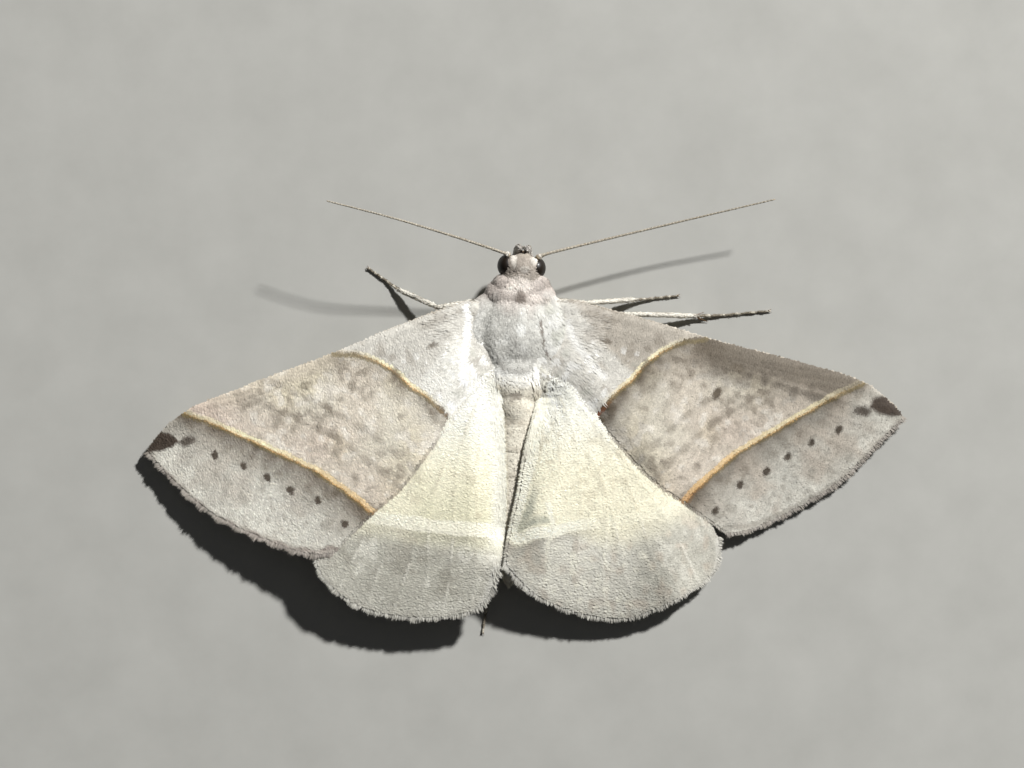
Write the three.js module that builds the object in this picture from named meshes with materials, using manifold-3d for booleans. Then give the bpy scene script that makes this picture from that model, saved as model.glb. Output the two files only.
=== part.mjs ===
// A medium-sized erebine moth at rest with its wings spread flat, life size, in millimetres, +Z up.
// +Y is the way the head points, +X is the moth's right side, and the floor that it stands on is z = 0.
// The moth is a still model: every sub-part is its own closed solid, a hair's gap from its neighbours.
import * as THREE from "three";
import { mergeVertices } from "three/addons/utils/BufferGeometryUtils.js";
import Module from "manifold-3d";

const wasm = await Module();
wasm.setup();

// Driving dimensions
const seatGap = 0.05; // clearance between neighbouring solids
const wingThickness = 0.5;
const wingClearance = 0.08; // between a hindwing and the forewing that lies over it
const bodyYaw = THREE.MathUtils.degToRad(-2); // the body lies a little askew under the wings
const headYaw = THREE.MathUtils.degToRad(-5.5);
const neck = new THREE.Vector3(0.1, 2.4, 2.7);

// The trunk is built of ellipsoids, each a centre and three radii.
const thoraxLobes = [
  { centre: [0, 0.15, 2.65], radii: [1.85, 2.2, 1.6] },
  { centre: [0, -1.65, 2.5], radii: [1.5, 0.95, 1.2] },
];
const tegula = { centre: [1.28, 0.25, 3.25], radii: [0.82, 1.75, 0.72] };
const collar = { centre: [0.05, 2.2, 3.0], radii: [1.2, 0.5, 0.95] };
const skull = { centre: [0, 0.75, 2.72], radii: [0.98, 0.8, 0.95] }; // measured from the neck
const frons = { centre: [0, 1.2, 2.55], radii: [0.6, 0.48, 0.72] };
const eye = { centre: [0.76, 0.88, 2.72], radii: [0.53, 0.62, 0.7] };
const palp = { root: [0.42, 1.25, 1.75], bend: [0.4, 1.85, 2.15], rise: [0.34, 1.92, 2.75], tip: [0.3, 1.8, 3.3] };
const palpProfile = [[0, 0], [0.02, 0.22], [0.3, 0.27], [0.6, 0.25], [0.7, 0.2], [0.97, 0.16], [1, 0]];
const proboscis = { centre: [0, 1.5, 1.72], coilRadius: 0.32, tubeRadius: 0.18 };
const abdomen = {
  front: [0, -2.3, 2.1],
  rear: [0, -13.6, 1.28],
  halfWidth: 1.56,
  flatness: 0.74,
  segments: 8,
  ringStep: 0.05, // how far each segment's rear edge stands proud of the next one
};

// Wing outlines, from the hinge: outward along the wing, then rearward across it.
const forewing = {
  leading: [[-0.5, -0.8], [1, -1.2], [4.5, -1.36], [8, -1.35], [13, -1.52], [16, -1.48], [18, -0.8], [19.2, 0.05]],
  outer: [[19.2, 0.05], [18.3, 1.7], [16.85, 4.2], [14.8, 6.35], [12.9, 7.85], [11.6, 8.35]],
  trailing: [[-0.5, 2.6], [1.3, 3.05], [3.4, 4.4], [6.6, 6.5], [8.9, 7.4], [11.6, 8.35]],
  divisions: [19, 7],
  hingeHeight: 3.45,
  slope: 0.05,
  tipDroop: 0.0045,
  rearRise: 0.1, // the rear edge rides up on the hindwing, out to the reach
  riseReach: 14,
  leanReach: [6, 14], // where each side's own lean of the rear half sets in
};
const hindwing = {
  right: {
    leading: [[0.8, -1.4], [3.6, -2.6], [6.8, -5.3], [9.4, -8.8], [10.6, -10.9]],
    outer: [[10.6, -10.9], [10.25, -13], [7.6, -14.7], [4.9, -15.35], [1.25, -14.2], [-0.9, -12]],
    trailing: [[0.8, -2.2], [1.1, -3.5], [0.42, -5.86], [-0.08, -8.2], [-0.66, -10.5], [-0.9, -12]],
  },
  left: {
    leading: [[-0.8, -1.2], [-3.6, -2.9], [-6.8, -6], [-9.6, -9.6], [-10.76, -11.75]],
    outer: [[-10.76, -11.75], [-10.03, -13.4], [-8.04, -14.8], [-5, -15.26], [-2.1, -14.65], [-1.05, -12.4]],
    trailing: [[-0.8, -2], [-1.1, -3.2], [-1.2, -5.6], [-1.12, -8.2], [-1.0, -10.5], [-1.05, -12.4]],
  },
  divisions: [11, 10],
  frontHeight: 3.5,
  rearDroop: 0.085,
  curlFrom: 9, // the rear margin curls down towards the floor beyond here
};

// How each side holds its wings, feelers and legs. A leg's points are hip, knee, ankle, instep and toe tip.
const sides = [
  {
    name: "right",
    sign: 1,
    foreHinge: [2, 0.5],
    foreSweep: 15.7,
    foreLength: 1.003,
    foreLean: -0.18, // the right wings are pressed down at the rear
    sideDroop: 0.05,
    curl: 0.032,
    antenna: [[0.95, 3.72, 3.1], [1.6, 3.98, 3.0], [4, 4.58, 2.6], [8.6, 5.68, 2.45], [13.4, 6.8, 2.7]],
    legs: {
      fore: [[0.75, 1.5, 1.45], [3.5, 1.42, 1.15], [6.2, 1.62, 0.45], [7.1, 1.68, 0.2], [8.4, 1.82, 0.2]],
      mid: [[0.95, 0.3, 1.35], [5.4, 0.85, 1.25], [9.3, 0.76, 0.45], [10.7, 0.8, 0.2], [13.2, 1.03, 0.2]],
      hind: [[0.95, -1.2, 1.35], [3.1, -5.2, 1.35], [2.7, -10.2, 0.45], [2.6, -11.6, 0.2], [2.4, -14.1, 0.2]],
    },
  },
  {
    name: "left",
    sign: -1,
    foreHinge: [2, 0.5],
    foreSweep: 21.6,
    foreLength: 0.993,
    foreOuter: [[19.2, 0.05], [18.5, 1.85], [17.13, 4.42], [15.05, 6.62], [13.1, 8.15], [11.65, 8.6]],
    foreLean: 0.02,
    sideDroop: 0.02,
    curl: 0.02,
    antenna: [[-0.42, 3.86, 3.1], [-1.1, 4.12, 3.2], [-3.2, 4.8, 3.75], [-6.6, 5.8, 4.5], [-9.9, 6.65, 4.4]],
    legs: {
      fore: [[-0.7, 1.6, 1.45], [-4.2, 1.2, 1.15], [-6.2, 2.1, 0.45], [-6.85, 2.55, 0.2], [-7.85, 3.26, 0.2]],
      mid: [[-0.95, 0.25, 1.35], [-5, -0.9, 1.25], [-8.7, -2.4, 0.45], [-10, -2.95, 0.2], [-12.3, -4, 0.2]],
      hind: [[-0.95, -1.2, 1.35], [-3.2, -5.3, 1.35], [-2.1, -10.6, 0.45], [-1.55, -13.2, 0.2], [-1.85, -15.9, 0.2]],
    },
  },
];
const femurProfile = [[0, 0], [0.03, 0.42], [0.35, 0.42], [0.8, 0.34], [0.97, 0.3], [1, 0]];
const tibiaProfile = [[0, 0], [0.03, 0.29], [0.35, 0.3], [0.8, 0.28], [0.97, 0.26], [1, 0]];
const tarsusRadius = 0.25;
const tarsusRings = 6;
const antennaRadius = 0.25;
const antennaRings = 12;

// Materials
const material = (colour, roughness) => new THREE.MeshStandardMaterial({ color: colour, roughness, metalness: 0 });
const materials = {
  bodyScales: material("#bdb8b0", 0.85),
  headScales: material("#a59c8f", 0.85),
  abdomenScales: material("#d2cab8", 0.85),
  foreScales: material("#c6beb2", 0.8),
  hindScales: material("#e9e4cb", 0.8),
  legScales: material("#cfc8b8", 0.8),
  feelerScales: material("#b9ae9c", 0.75),
  eyeLens: material("#2a231a", 0.25),
  horn: material("#6f5636", 0.5),
};

// Solids and meshes
function turnInsideOut(geometry) {
  geometry.setIndex(Array.from(geometry.index.array).reverse());
}

function toSolid(geometry) {
  geometry.deleteAttribute("normal");
  geometry.deleteAttribute("uv");
  const merged = mergeVertices(geometry, 1e-5);
  const vertProperties = new Float32Array(merged.attributes.position.array);
  const triVerts = new Uint32Array(merged.index.array);
  return new wasm.Manifold(new wasm.Mesh({ numProp: 3, vertProperties, triVerts }));
}

function toMesh(name, solid, paint) {
  const { vertProperties, triVerts } = solid.getMesh();
  const geometry = new THREE.BufferGeometry();
  geometry.setAttribute("position", new THREE.BufferAttribute(vertProperties, 3));
  geometry.setIndex(new THREE.BufferAttribute(triVerts, 1));
  geometry.computeVertexNormals();
  const mesh = new THREE.Mesh(geometry, paint);
  mesh.name = name;
  return mesh;
}

const vector = (point) => new THREE.Vector3(...point);
const mirrored = ([x, y, z], sign) => [x * sign, y, z];
const curveThrough = (points) => new THREE.CatmullRomCurve3(points.map(vector));

// Body pieces turn with the body about the origin; head pieces turn with the head about the neck.
const bodyPlace = new THREE.Matrix4().makeRotationZ(bodyYaw);
const headPlace = new THREE.Matrix4().makeTranslation(neck.x, neck.y, 0);
headPlace.multiply(new THREE.Matrix4().makeRotationZ(headYaw));

function ellipsoid({ centre, radii }, place, { grow = 0, across = 14, along = 10 } = {}) {
  const geometry = new THREE.SphereGeometry(1, across, along);
  geometry.rotateX(Math.PI / 2);
  geometry.scale(...radii.map((radius) => radius + grow));
  geometry.translate(...centre);
  return toSolid(geometry.applyMatrix4(place));
}

// A round limb along a curve. The profile's points are [share of the length, radius], from axis to axis.
function limb(profile, curve, { round = 8, grow = 0, flatness = 1 } = {}) {
  const outline = profile.map(([share, radius]) => new THREE.Vector2(radius ? radius + grow : 0, share));
  const geometry = new THREE.LatheGeometry(outline, round);
  const places = geometry.getAttribute("position");
  const up = new THREE.Vector3(0, 0, 1);
  for (let i = 0; i < places.count; i++) {
    const tangent = curve.getTangentAt(places.getY(i));
    const across = new THREE.Vector3().crossVectors(tangent, up).normalize();
    const upward = new THREE.Vector3().crossVectors(across, tangent);
    const point = curve.getPointAt(places.getY(i));
    point.addScaledVector(across, places.getX(i)).addScaledVector(upward, places.getZ(i) * flatness);
    places.setXYZ(i, point.x, point.y, point.z);
  }
  return toSolid(geometry);
}

// Even rings of one radius between two closed ends
function evenProfile(radius, rings, endShare) {
  const inner = Array.from({ length: rings }, (_, i) => endShare + ((1 - 2 * endShare) * i) / (rings - 1));
  return [[0, 0], ...inner.map((share) => [share, radius]), [1, 0]];
}

// Head, thorax and abdomen
function makeThorax(grow = 0) {
  const lobes = thoraxLobes.map((lobe) => ellipsoid(lobe, bodyPlace, { grow, across: 18, along: 12 }));
  for (const sign of [1, -1]) {
    const shoulder = { centre: mirrored(tegula.centre, sign), radii: tegula.radii };
    lobes.push(ellipsoid(shoulder, bodyPlace, { grow }));
  }
  return lobes.reduce((whole, lobe) => whole.add(lobe));
}

const makeCollar = (grow = 0) => ellipsoid(collar, bodyPlace, { grow });

function makeHead(grow = 0) {
  return ellipsoid(skull, headPlace, { grow }).add(ellipsoid(frons, headPlace, { grow }));
}

function makeEye(sign, grow = 0) {
  return ellipsoid({ centre: mirrored(eye.centre, sign), radii: eye.radii }, headPlace, { grow });
}

function makePalp(sign, grow = 0) {
  const points = [palp.root, palp.bend, palp.rise, palp.tip];
  const curve = curveThrough(points.map((point) => vector(mirrored(point, sign)).applyMatrix4(headPlace).toArray()));
  return limb(palpProfile, curve, { grow });
}

function makeProboscis() {
  const geometry = new THREE.TorusGeometry(proboscis.coilRadius, proboscis.tubeRadius, 8, 14);
  geometry.rotateY(Math.PI / 2);
  geometry.translate(...proboscis.centre);
  return toSolid(geometry.applyMatrix4(headPlace));
}

const abdomenTaper = (share) => abdomen.halfWidth * (1 - 0.75 * share ** 1.6);

function makeAbdomen(grow = 0) {
  const { front, rear, segments, ringStep, flatness } = abdomen;
  const profile = [[0, 0]];
  for (let ring = 0; ring < segments; ring++) {
    const [start, end] = [(ring + 0.04) / segments, (ring + 0.96) / segments];
    profile.push([start, abdomenTaper(start) - ringStep], [end, abdomenTaper(end)]);
  }
  profile.push([0.985, abdomenTaper(1) * 0.7], [1, 0]);
  const curve = new THREE.LineCurve3(vector(front).applyMatrix4(bodyPlace), vector(rear).applyMatrix4(bodyPlace));
  return limb(profile, curve, { round: 18, grow, flatness });
}

// Wings. Each is a thin box bent to its four edges, and moulded to its height above the floor.
function fillBetween({ leading, outer, trailing }) {
  const curves = [leading, outer, trailing].map(
    (points) => new THREE.SplineCurve(points.map((point) => new THREE.Vector2(...point))),
  );
  const [front, side, back] = curves;
  const corner = (curve, end) => curve.getPoint(end);
  return (u, v) => {
    const place = front.getPointAt(u).multiplyScalar(1 - v).addScaledVector(back.getPointAt(u), v);
    place.addScaledVector(side.getPointAt(v), u);
    place.addScaledVector(corner(front, 1), -u * (1 - v)).addScaledVector(corner(back, 1), -u * v);
    return place;
  };
}

function bentBox([along, across], toPlace, heightAt, thickness) {
  const geometry = new THREE.BoxGeometry(1, 1, 1, along, across, 1);
  const places = geometry.getAttribute("position");
  for (let i = 0; i < places.count; i++) {
    const { x, y } = toPlace(places.getX(i) + 0.5, places.getY(i) + 0.5);
    places.setXYZ(i, x, y, heightAt(x, y) + places.getZ(i) * thickness);
  }
  return geometry;
}

function foreFrame(side) {
  const sweep = THREE.MathUtils.degToRad(side.foreSweep);
  const outward = new THREE.Vector2(Math.cos(sweep) * side.sign, -Math.sin(sweep));
  const rearward = new THREE.Vector2(-Math.sin(sweep) * side.sign, -Math.cos(sweep));
  const hinge = new THREE.Vector2(side.foreHinge[0] * side.sign, side.foreHinge[1]);
  return { outward, rearward, hinge };
}

function foreHeight(side, x, y) {
  const { outward, rearward, hinge } = foreFrame(side);
  const offset = new THREE.Vector2(x, y).sub(hinge);
  const reach = Math.max(0, offset.dot(outward));
  const back = offset.dot(rearward);
  const rise = forewing.rearRise * back * Math.max(0, 1 - reach / forewing.riseReach);
  const lean = side.foreLean * Math.max(0, back) * THREE.MathUtils.smoothstep(reach, ...forewing.leanReach);
  return forewing.hingeHeight - forewing.slope * reach - forewing.tipDroop * reach ** 2 + rise + lean;
}

function hindHeight(side, x, y) {
  const curl = side.curl * Math.max(0, -y - hindwing.curlFrom) ** 2;
  const own = hindwing.frontHeight + hindwing.rearDroop * y - side.sideDroop * Math.abs(x) - curl;
  return Math.min(own, foreHeight(side, x, y) - wingThickness - wingClearance);
}

function makeForewing(side) {
  const { outward, rearward, hinge } = foreFrame(side);
  const outer = side.foreOuter ?? forewing.outer;
  const trailing = [...forewing.trailing.slice(0, -1), outer.at(-1)];
  const fill = fillBetween({ leading: forewing.leading, outer, trailing });
  const toPlace = (u, v) => {
    const { x: reach, y: back } = fill(u, v).multiplyScalar(side.foreLength);
    return hinge.clone().addScaledVector(outward, reach).addScaledVector(rearward, back);
  };
  const geometry = bentBox(forewing.divisions, toPlace, (x, y) => foreHeight(side, x, y), wingThickness);
  if (side.sign > 0) turnInsideOut(geometry);
  return toSolid(geometry);
}

function makeHindwing(side) {
  const heightAt = (x, y) => hindHeight(side, x, y);
  const geometry = bentBox(hindwing.divisions, fillBetween(hindwing[side.name]), heightAt, wingThickness);
  if (side.sign > 0) turnInsideOut(geometry);
  return toSolid(geometry);
}

// Legs and feelers
function makeLeg([hip, knee, ankle, instep, toe], grow = 0) {
  return {
    femur: limb(femurProfile, curveThrough([hip, knee]), { grow }),
    tibia: limb(tibiaProfile, curveThrough([knee, ankle]), { grow }),
    tarsus: limb(evenProfile(tarsusRadius, tarsusRings, 0.03), curveThrough([ankle, instep, toe]), { grow }),
  };
}

function makeAntenna(side) {
  return limb(evenProfile(antennaRadius, antennaRings, 0.008), curveThrough(side.antenna));
}

function makeGround() {
  const depth = 5;
  return toSolid(new THREE.BoxGeometry(100, 100, depth).translate(0, 0, -depth / 2));
}

// Assembly. Each piece is cut back to sit against the ones before it.
const moth = new THREE.Group();
const addPart = (name, solid, paint) => moth.add(toMesh(name, solid, paint));

const thoraxSeat = makeThorax(seatGap);
const neckSeat = thoraxSeat.add(makeCollar(seatGap));
const eyeSeat = makeEye(1, seatGap).add(makeEye(-1, seatGap));
const headSeat = makeHead(seatGap).add(eyeSeat);
const palpSeat = makePalp(1, seatGap).add(makePalp(-1, seatGap));
const abdomenSeat = makeAbdomen(seatGap);
const ground = makeGround();

addPart("head", makeHead().subtract(neckSeat).subtract(eyeSeat), materials.headScales);
addPart("collar", makeCollar().subtract(thoraxSeat), materials.bodyScales);
addPart("thorax", makeThorax(), materials.bodyScales);
addPart("abdomen", makeAbdomen().subtract(thoraxSeat), materials.abdomenScales);
addPart("proboscis", makeProboscis().subtract(headSeat).subtract(palpSeat), materials.horn);

for (const side of sides) {
  const { name, sign, legs } = side;
  addPart(`eye_${name}`, makeEye(sign).subtract(neckSeat), materials.eyeLens);
  addPart(`palp_${name}`, makePalp(sign).subtract(headSeat), materials.headScales);
  addPart(`antenna_${name}`, makeAntenna(side).subtract(headSeat), materials.feelerScales);
  addPart(`forewing_${name}`, makeForewing(side).subtract(thoraxSeat), materials.foreScales);
  const hind = makeHindwing(side).subtract(thoraxSeat).subtract(abdomenSeat);
  addPart(`hindwing_${name}`, hind, materials.hindScales);
  for (const [pair, points] of Object.entries(legs)) {
    const { femur, tibia, tarsus } = makeLeg(points);
    const seat = makeLeg(points, seatGap);
    addPart(`${pair}leg_${name}_femur`, femur.subtract(thoraxSeat).subtract(abdomenSeat), materials.legScales);
    addPart(`${pair}leg_${name}_tibia`, tibia.subtract(seat.femur), materials.legScales);
    addPart(`${pair}leg_${name}_tarsus`, tarsus.subtract(seat.tibia).subtract(ground), materials.legScales);
  }
}

// The origin is the bottom centre of the whole moth.
const middle = new THREE.Box3().setFromObject(moth).getCenter(new THREE.Vector3());
moth.position.set(-middle.x, -middle.y, 0);

export default moth;
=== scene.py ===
import math
from itertools import product
import bmesh
import bpy
import numpy as np
from mathutils import Matrix, Vector


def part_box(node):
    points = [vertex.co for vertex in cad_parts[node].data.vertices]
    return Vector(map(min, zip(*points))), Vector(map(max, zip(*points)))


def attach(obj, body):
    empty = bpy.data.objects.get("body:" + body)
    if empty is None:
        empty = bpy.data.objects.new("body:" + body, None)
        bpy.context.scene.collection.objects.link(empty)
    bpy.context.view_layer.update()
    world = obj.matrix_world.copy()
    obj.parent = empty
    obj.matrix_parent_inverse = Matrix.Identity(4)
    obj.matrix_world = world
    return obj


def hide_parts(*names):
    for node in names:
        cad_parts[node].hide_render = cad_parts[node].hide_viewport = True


# A moth at rest with its wings spread. Shapes are worked out in millimetres about the middle of
# the wing hinges, +Y towards the head and +Z up, and each finished piece is put in place in metres.
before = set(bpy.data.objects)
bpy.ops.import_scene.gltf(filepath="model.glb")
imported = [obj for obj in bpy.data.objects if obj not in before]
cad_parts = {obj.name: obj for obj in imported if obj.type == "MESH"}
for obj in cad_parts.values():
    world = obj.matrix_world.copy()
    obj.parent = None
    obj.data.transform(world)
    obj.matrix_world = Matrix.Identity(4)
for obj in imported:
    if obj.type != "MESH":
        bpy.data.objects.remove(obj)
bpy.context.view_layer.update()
mm = 0.001
rng = np.random.default_rng(7)
print("frame loaded:", len(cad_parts), "nodes")

thoraxMiddle = (0.0085, -0.13)  # the middle of the thorax's box, from the middle of the hinges
thoraxLow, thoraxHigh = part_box("thorax")
home = np.array([(thoraxLow[i] + thoraxHigh[i]) / 2 / mm - thoraxMiddle[i] for i in (0, 1)] + [0.0])


# Colour, noise and curves

def linear(hexColour):
    parts = [int(hexColour[i:i + 2], 16) / 255 for i in (1, 3, 5)]
    return np.array([c / 12.92 if c <= 0.04045 else ((c + 0.055) / 1.055) ** 2.4 for c in parts])


def mix(first, second, share):
    return first + (second - first) * np.clip(share, 0, 1)[..., None]


class Paint:
    # one colour of a look at every point, with more laid over it, each by its share at each point
    def __init__(self, look, base, count):
        self.look, self.colour = look, np.tile(linear(look[base]), (count, 1))

    def over(self, other, share):
        above = other.colour if isinstance(other, Paint) else linear(self.look[other])
        self.colour = mix(self.colour, above, share)
        return self


def ramp(value, low, high):
    share = np.clip((value - low) / (high - low), 0, 1)
    return share * share * (3 - 2 * share)


def band(distance, half, soft):
    # 1 within a stripe's half width of its middle, fading out softly at its edges
    return ramp(half - np.abs(distance), 0, soft)


def noise(points, size, seed=0):
    # smooth noise from -1 to 1, in lumps about size across
    places = points / size + 17.31 * seed + 400
    cell = np.floor(places)
    part = places - cell
    part = part * part * (3 - 2 * part)
    keys = np.array([127.1, 311.7, 74.7])[:points.shape[1]]
    total = np.zeros(len(points))
    for corner in product((0, 1), repeat=points.shape[1]):
        value = np.sin((cell + corner) @ keys + seed) * 43758.5453
        weight = np.prod(np.where(np.array(corner) > 0, part, 1 - part), axis=1)
        total += weight * (value - np.floor(value))
    return 2 * total - 1


def unit(vectors):
    return vectors / np.maximum(np.linalg.norm(vectors, axis=-1, keepdims=True), 1e-12)


def curve(points, count):
    # points evenly spaced along a smooth curve through the given ones
    given = np.array(points, float)
    padded = np.vstack([given[:1], given, given[-1:]])
    steps = np.linspace(0, len(given) - 1, 50 * (len(given) - 1) + 1)
    first = np.minimum(steps.astype(int), len(given) - 2)
    t = (steps - first)[:, None]
    a, b, c, d = (padded[first + i] for i in range(4))
    square, cube = 2 * a - 5 * b + 4 * c - d, 3 * b - a - 3 * c + d
    fine = 0.5 * (2 * b + (c - a) * t + square * t ** 2 + cube * t ** 3)
    run = np.append(0, np.cumsum(np.linalg.norm(np.diff(fine, axis=0), axis=1)))
    even = np.linspace(0, run[-1], count)
    return np.column_stack([np.interp(even, run, fine[:, k]) for k in range(given.shape[1])])


def nearest(points, line):
    # offset from the nearest point of a line of points, its length, and the share along the line
    line = np.array(line, float)
    lengths = np.maximum(np.linalg.norm(np.diff(line, axis=0), axis=1), 1e-9)
    runs = np.append(0, np.cumsum(lengths))
    best = np.full(len(points), np.inf)
    offset = np.zeros_like(points)
    heading = np.zeros_like(points)
    share = np.zeros(len(points))
    for start, end, length, run in zip(line[:-1], line[1:], lengths, runs):
        along = (end - start) / length
        t = np.clip((points - start) @ along, 0, length)
        away = points - start - t[:, None] * along
        distance = np.linalg.norm(away, axis=1)
        near = distance < best
        best[near] = distance[near]
        offset[near] = away[near]
        heading[near] = along
        share[near] = ((run + t) / runs[-1])[near]
    return offset, best, share, heading


def fromLine(points, line):
    # signed distance from a flat line, above zero on the left of its heading, and the share along it
    offset, distance, share, heading = nearest(points, line)
    left = heading[:, 0] * offset[:, 1] - heading[:, 1] * offset[:, 0]
    return np.where(left >= 0, distance, -distance), share


def inside(points, outline):
    answer = np.zeros(len(points), bool)
    for (x0, y0), (x1, y1) in zip(outline, np.roll(outline, -1, axis=0)):
        if y0 == y1:
            continue
        crosses = (y0 > points[:, 1]) != (y1 > points[:, 1])
        answer ^= crosses & (points[:, 0] < (x1 - x0) * (points[:, 1] - y0) / (y1 - y0) + x0)
    return answer


# Meshes, materials and pieces

def spotAway(points, place, size, rough=0):
    # distance from the middle of an oval spot, 1 at its rim
    return np.linalg.norm((points[:, :2] - place) / size, axis=1) + rough


def addNode(tree, kind, settings=None, links=None):
    node = tree.nodes.new(kind)
    for name, value in (settings or {}).items():
        if isinstance(name, str) and hasattr(node, name):
            setattr(node, name, value)
        else:
            node.inputs[name].default_value = value
    for name, socket in (links or {}).items():
        tree.links.new(socket, node.inputs[name])
    return node


def startMaterial(name):
    material = bpy.data.materials.new(name)
    material.use_nodes = True
    material.node_tree.nodes.clear()
    return material, material.node_tree


def finishMaterial(material, tree, shader):
    addNode(tree, "ShaderNodeOutputMaterial", links={"Surface": shader.outputs["BSDF"]})
    return material


def addPiece(name, mesh, material, nodes=()):
    piece = bpy.data.objects.new(name, mesh)
    bpy.context.scene.collection.objects.link(piece)
    mesh.materials.clear()
    mesh.materials.append(material)
    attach(piece, "root")
    if nodes:
        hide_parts(*nodes)
    print("piece", name, len(mesh.polygons), "faces")
    return piece


def settle(mesh):
    # from millimetres about the hinges to metres in the shared frame
    places = np.empty(len(mesh.vertices) * 3, np.float32)
    mesh.vertices.foreach_get("co", places)
    moved = (places.reshape(-1, 3).astype(float) + home) * mm
    mesh.vertices.foreach_set("co", moved.astype(np.float32).ravel())
    mesh.update()
    return mesh


def toMesh(name, bm, smooth=True):
    mesh = bpy.data.meshes.new(name)
    for face in bm.faces:
        face.smooth = smooth
    bm.to_mesh(mesh)
    bm.free()
    return mesh


def addSolid(name, bm, material, nodes=()):
    bmesh.ops.recalc_face_normals(bm, faces=bm.faces)
    return addPiece(name, settle(toMesh(name, bm)), material, nodes)


def setPoints(mesh, name, kind, values):
    key = {"FLOAT_COLOR": "color", "FLOAT_VECTOR": "vector"}[kind]
    attribute = mesh.attributes.new(name, kind, "POINT")
    if kind == "FLOAT_COLOR":
        values = np.column_stack([values, np.ones(len(values))])
    attribute.data.foreach_set(key, values.astype(np.float32).ravel())


def tube(bm, centres, radii, sides=12, flatness=1.0):
    # a circle extruded from one centre to the next, closed at both ends
    centres = np.array(centres, float)
    last = None
    for centre, heading, radius in zip(centres, np.gradient(centres, axis=0), radii):
        along = Vector(heading).normalized()
        across = along.cross(Vector((0, 0, 1)) if abs(along.z) < 0.98 else Vector((0, 1, 0))).normalized()
        rise = across.cross(along)
        turn = Matrix((across * radius, rise * radius * flatness, along)).transposed().to_4x4()
        place = Matrix.Translation(Vector(centre)) @ turn
        if last is None:
            verts = bmesh.ops.create_circle(bm, segments=sides, radius=1.0, cap_ends=True)["verts"]
            edges = [e for e in bm.edges if e.verts[0] in verts]
            bmesh.ops.transform(bm, matrix=place, verts=verts)
        else:
            grown = bmesh.ops.extrude_edge_only(bm, edges=edges)["geom"]
            edges = [g for g in grown if isinstance(g, bmesh.types.BMEdge)]
            verts = [g for g in grown if isinstance(g, bmesh.types.BMVert)]
            bmesh.ops.transform(bm, matrix=place @ last.inverted(), verts=verts)
        last = place
    bmesh.ops.contextual_create(bm, geom=edges)


def relax(bm, verts, rounds):
    for _ in range(rounds):
        bmesh.ops.smooth_vert(bm, verts=verts, factor=0.5, use_axis_x=True, use_axis_y=True, use_axis_z=True)


# The moth's sides, and how its body and head are turned

sides = {
    "right": {
        "sign": 1, "hinge": (2, 0.5), "sweep": 15.7, "length": 1.003,
        "lean": -0.18, "sideDroop": 0.05, "curl": 0.032, "gaps": (0.18, 0.25),
        "antenna": [(0.95, 3.72, 3.1), (1.6, 3.98, 3.0), (4, 4.58, 2.6), (8.6, 5.68, 2.45), (13.4, 6.8, 2.7)],
        "legs": {
            "fore": [(0.75, 1.5, 1.45), (3.5, 1.42, 1.15), (6.2, 1.62, 0.3), (7.1, 1.68, 0.1),
                     (8.4, 1.82, 0.09)],
            "mid": [(0.95, 0.3, 1.35), (5.4, 0.85, 1.25), (9.3, 0.76, 0.32), (10.7, 0.8, 0.1),
                    (13.2, 1.03, 0.09)],
            "hind": [(0.95, -1.2, 1.35), (3.1, -5.2, 1.35), (2.7, -10.2, 0.32), (2.6, -11.6, 0.1),
                     (2.4, -14.1, 0.09)],
        },
    },
    "left": {
        "sign": -1, "hinge": (-2, 0.5), "sweep": 21.6, "length": 0.993,
        "lean": 0.02, "sideDroop": 0.02, "curl": 0.02, "gaps": (0.1, 0.12),
        "outer": [(19.2, 0.05), (18.5, 1.85), (17.13, 4.42), (15.05, 6.62), (13.1, 8.15), (11.65, 8.6)],
        "antenna": [(-0.42, 3.86, 3.1), (-1.1, 4.12, 3.2), (-3.2, 4.8, 3.75), (-6.6, 5.8, 4.5),
                    (-9.9, 6.65, 4.4)],
        "legs": {
            "fore": [(-0.7, 1.6, 1.45), (-4.2, 1.2, 1.15), (-6.2, 2.1, 0.3), (-6.85, 2.55, 0.1),
                     (-7.85, 3.26, 0.09)],
            "mid": [(-0.95, 0.25, 1.35), (-5, -0.9, 1.25), (-8.7, -2.4, 0.32), (-10, -2.95, 0.1),
                    (-12.3, -4, 0.09)],
            "hind": [(-0.95, -1.2, 1.35), (-3.2, -5.3, 1.35), (-2.1, -10.6, 0.32), (-1.55, -13.2, 0.1),
                     (-1.85, -15.9, 0.09)],
        },
    },
}
neck = Vector((0.1, 2.4, 0))
bodyPlace = Matrix.Rotation(math.radians(-2), 4, "Z")
headPlace = Matrix.Translation(neck) @ Matrix.Rotation(math.radians(-5.5), 4, "Z")


def moved(place, points):
    points = np.atleast_2d(np.array(points, float))
    return points @ np.array(place.to_3x3()).T + np.array(place.translation)


# Skin: every fleshy part of the body lies inside the coat, and is closed over in one mesh

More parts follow.
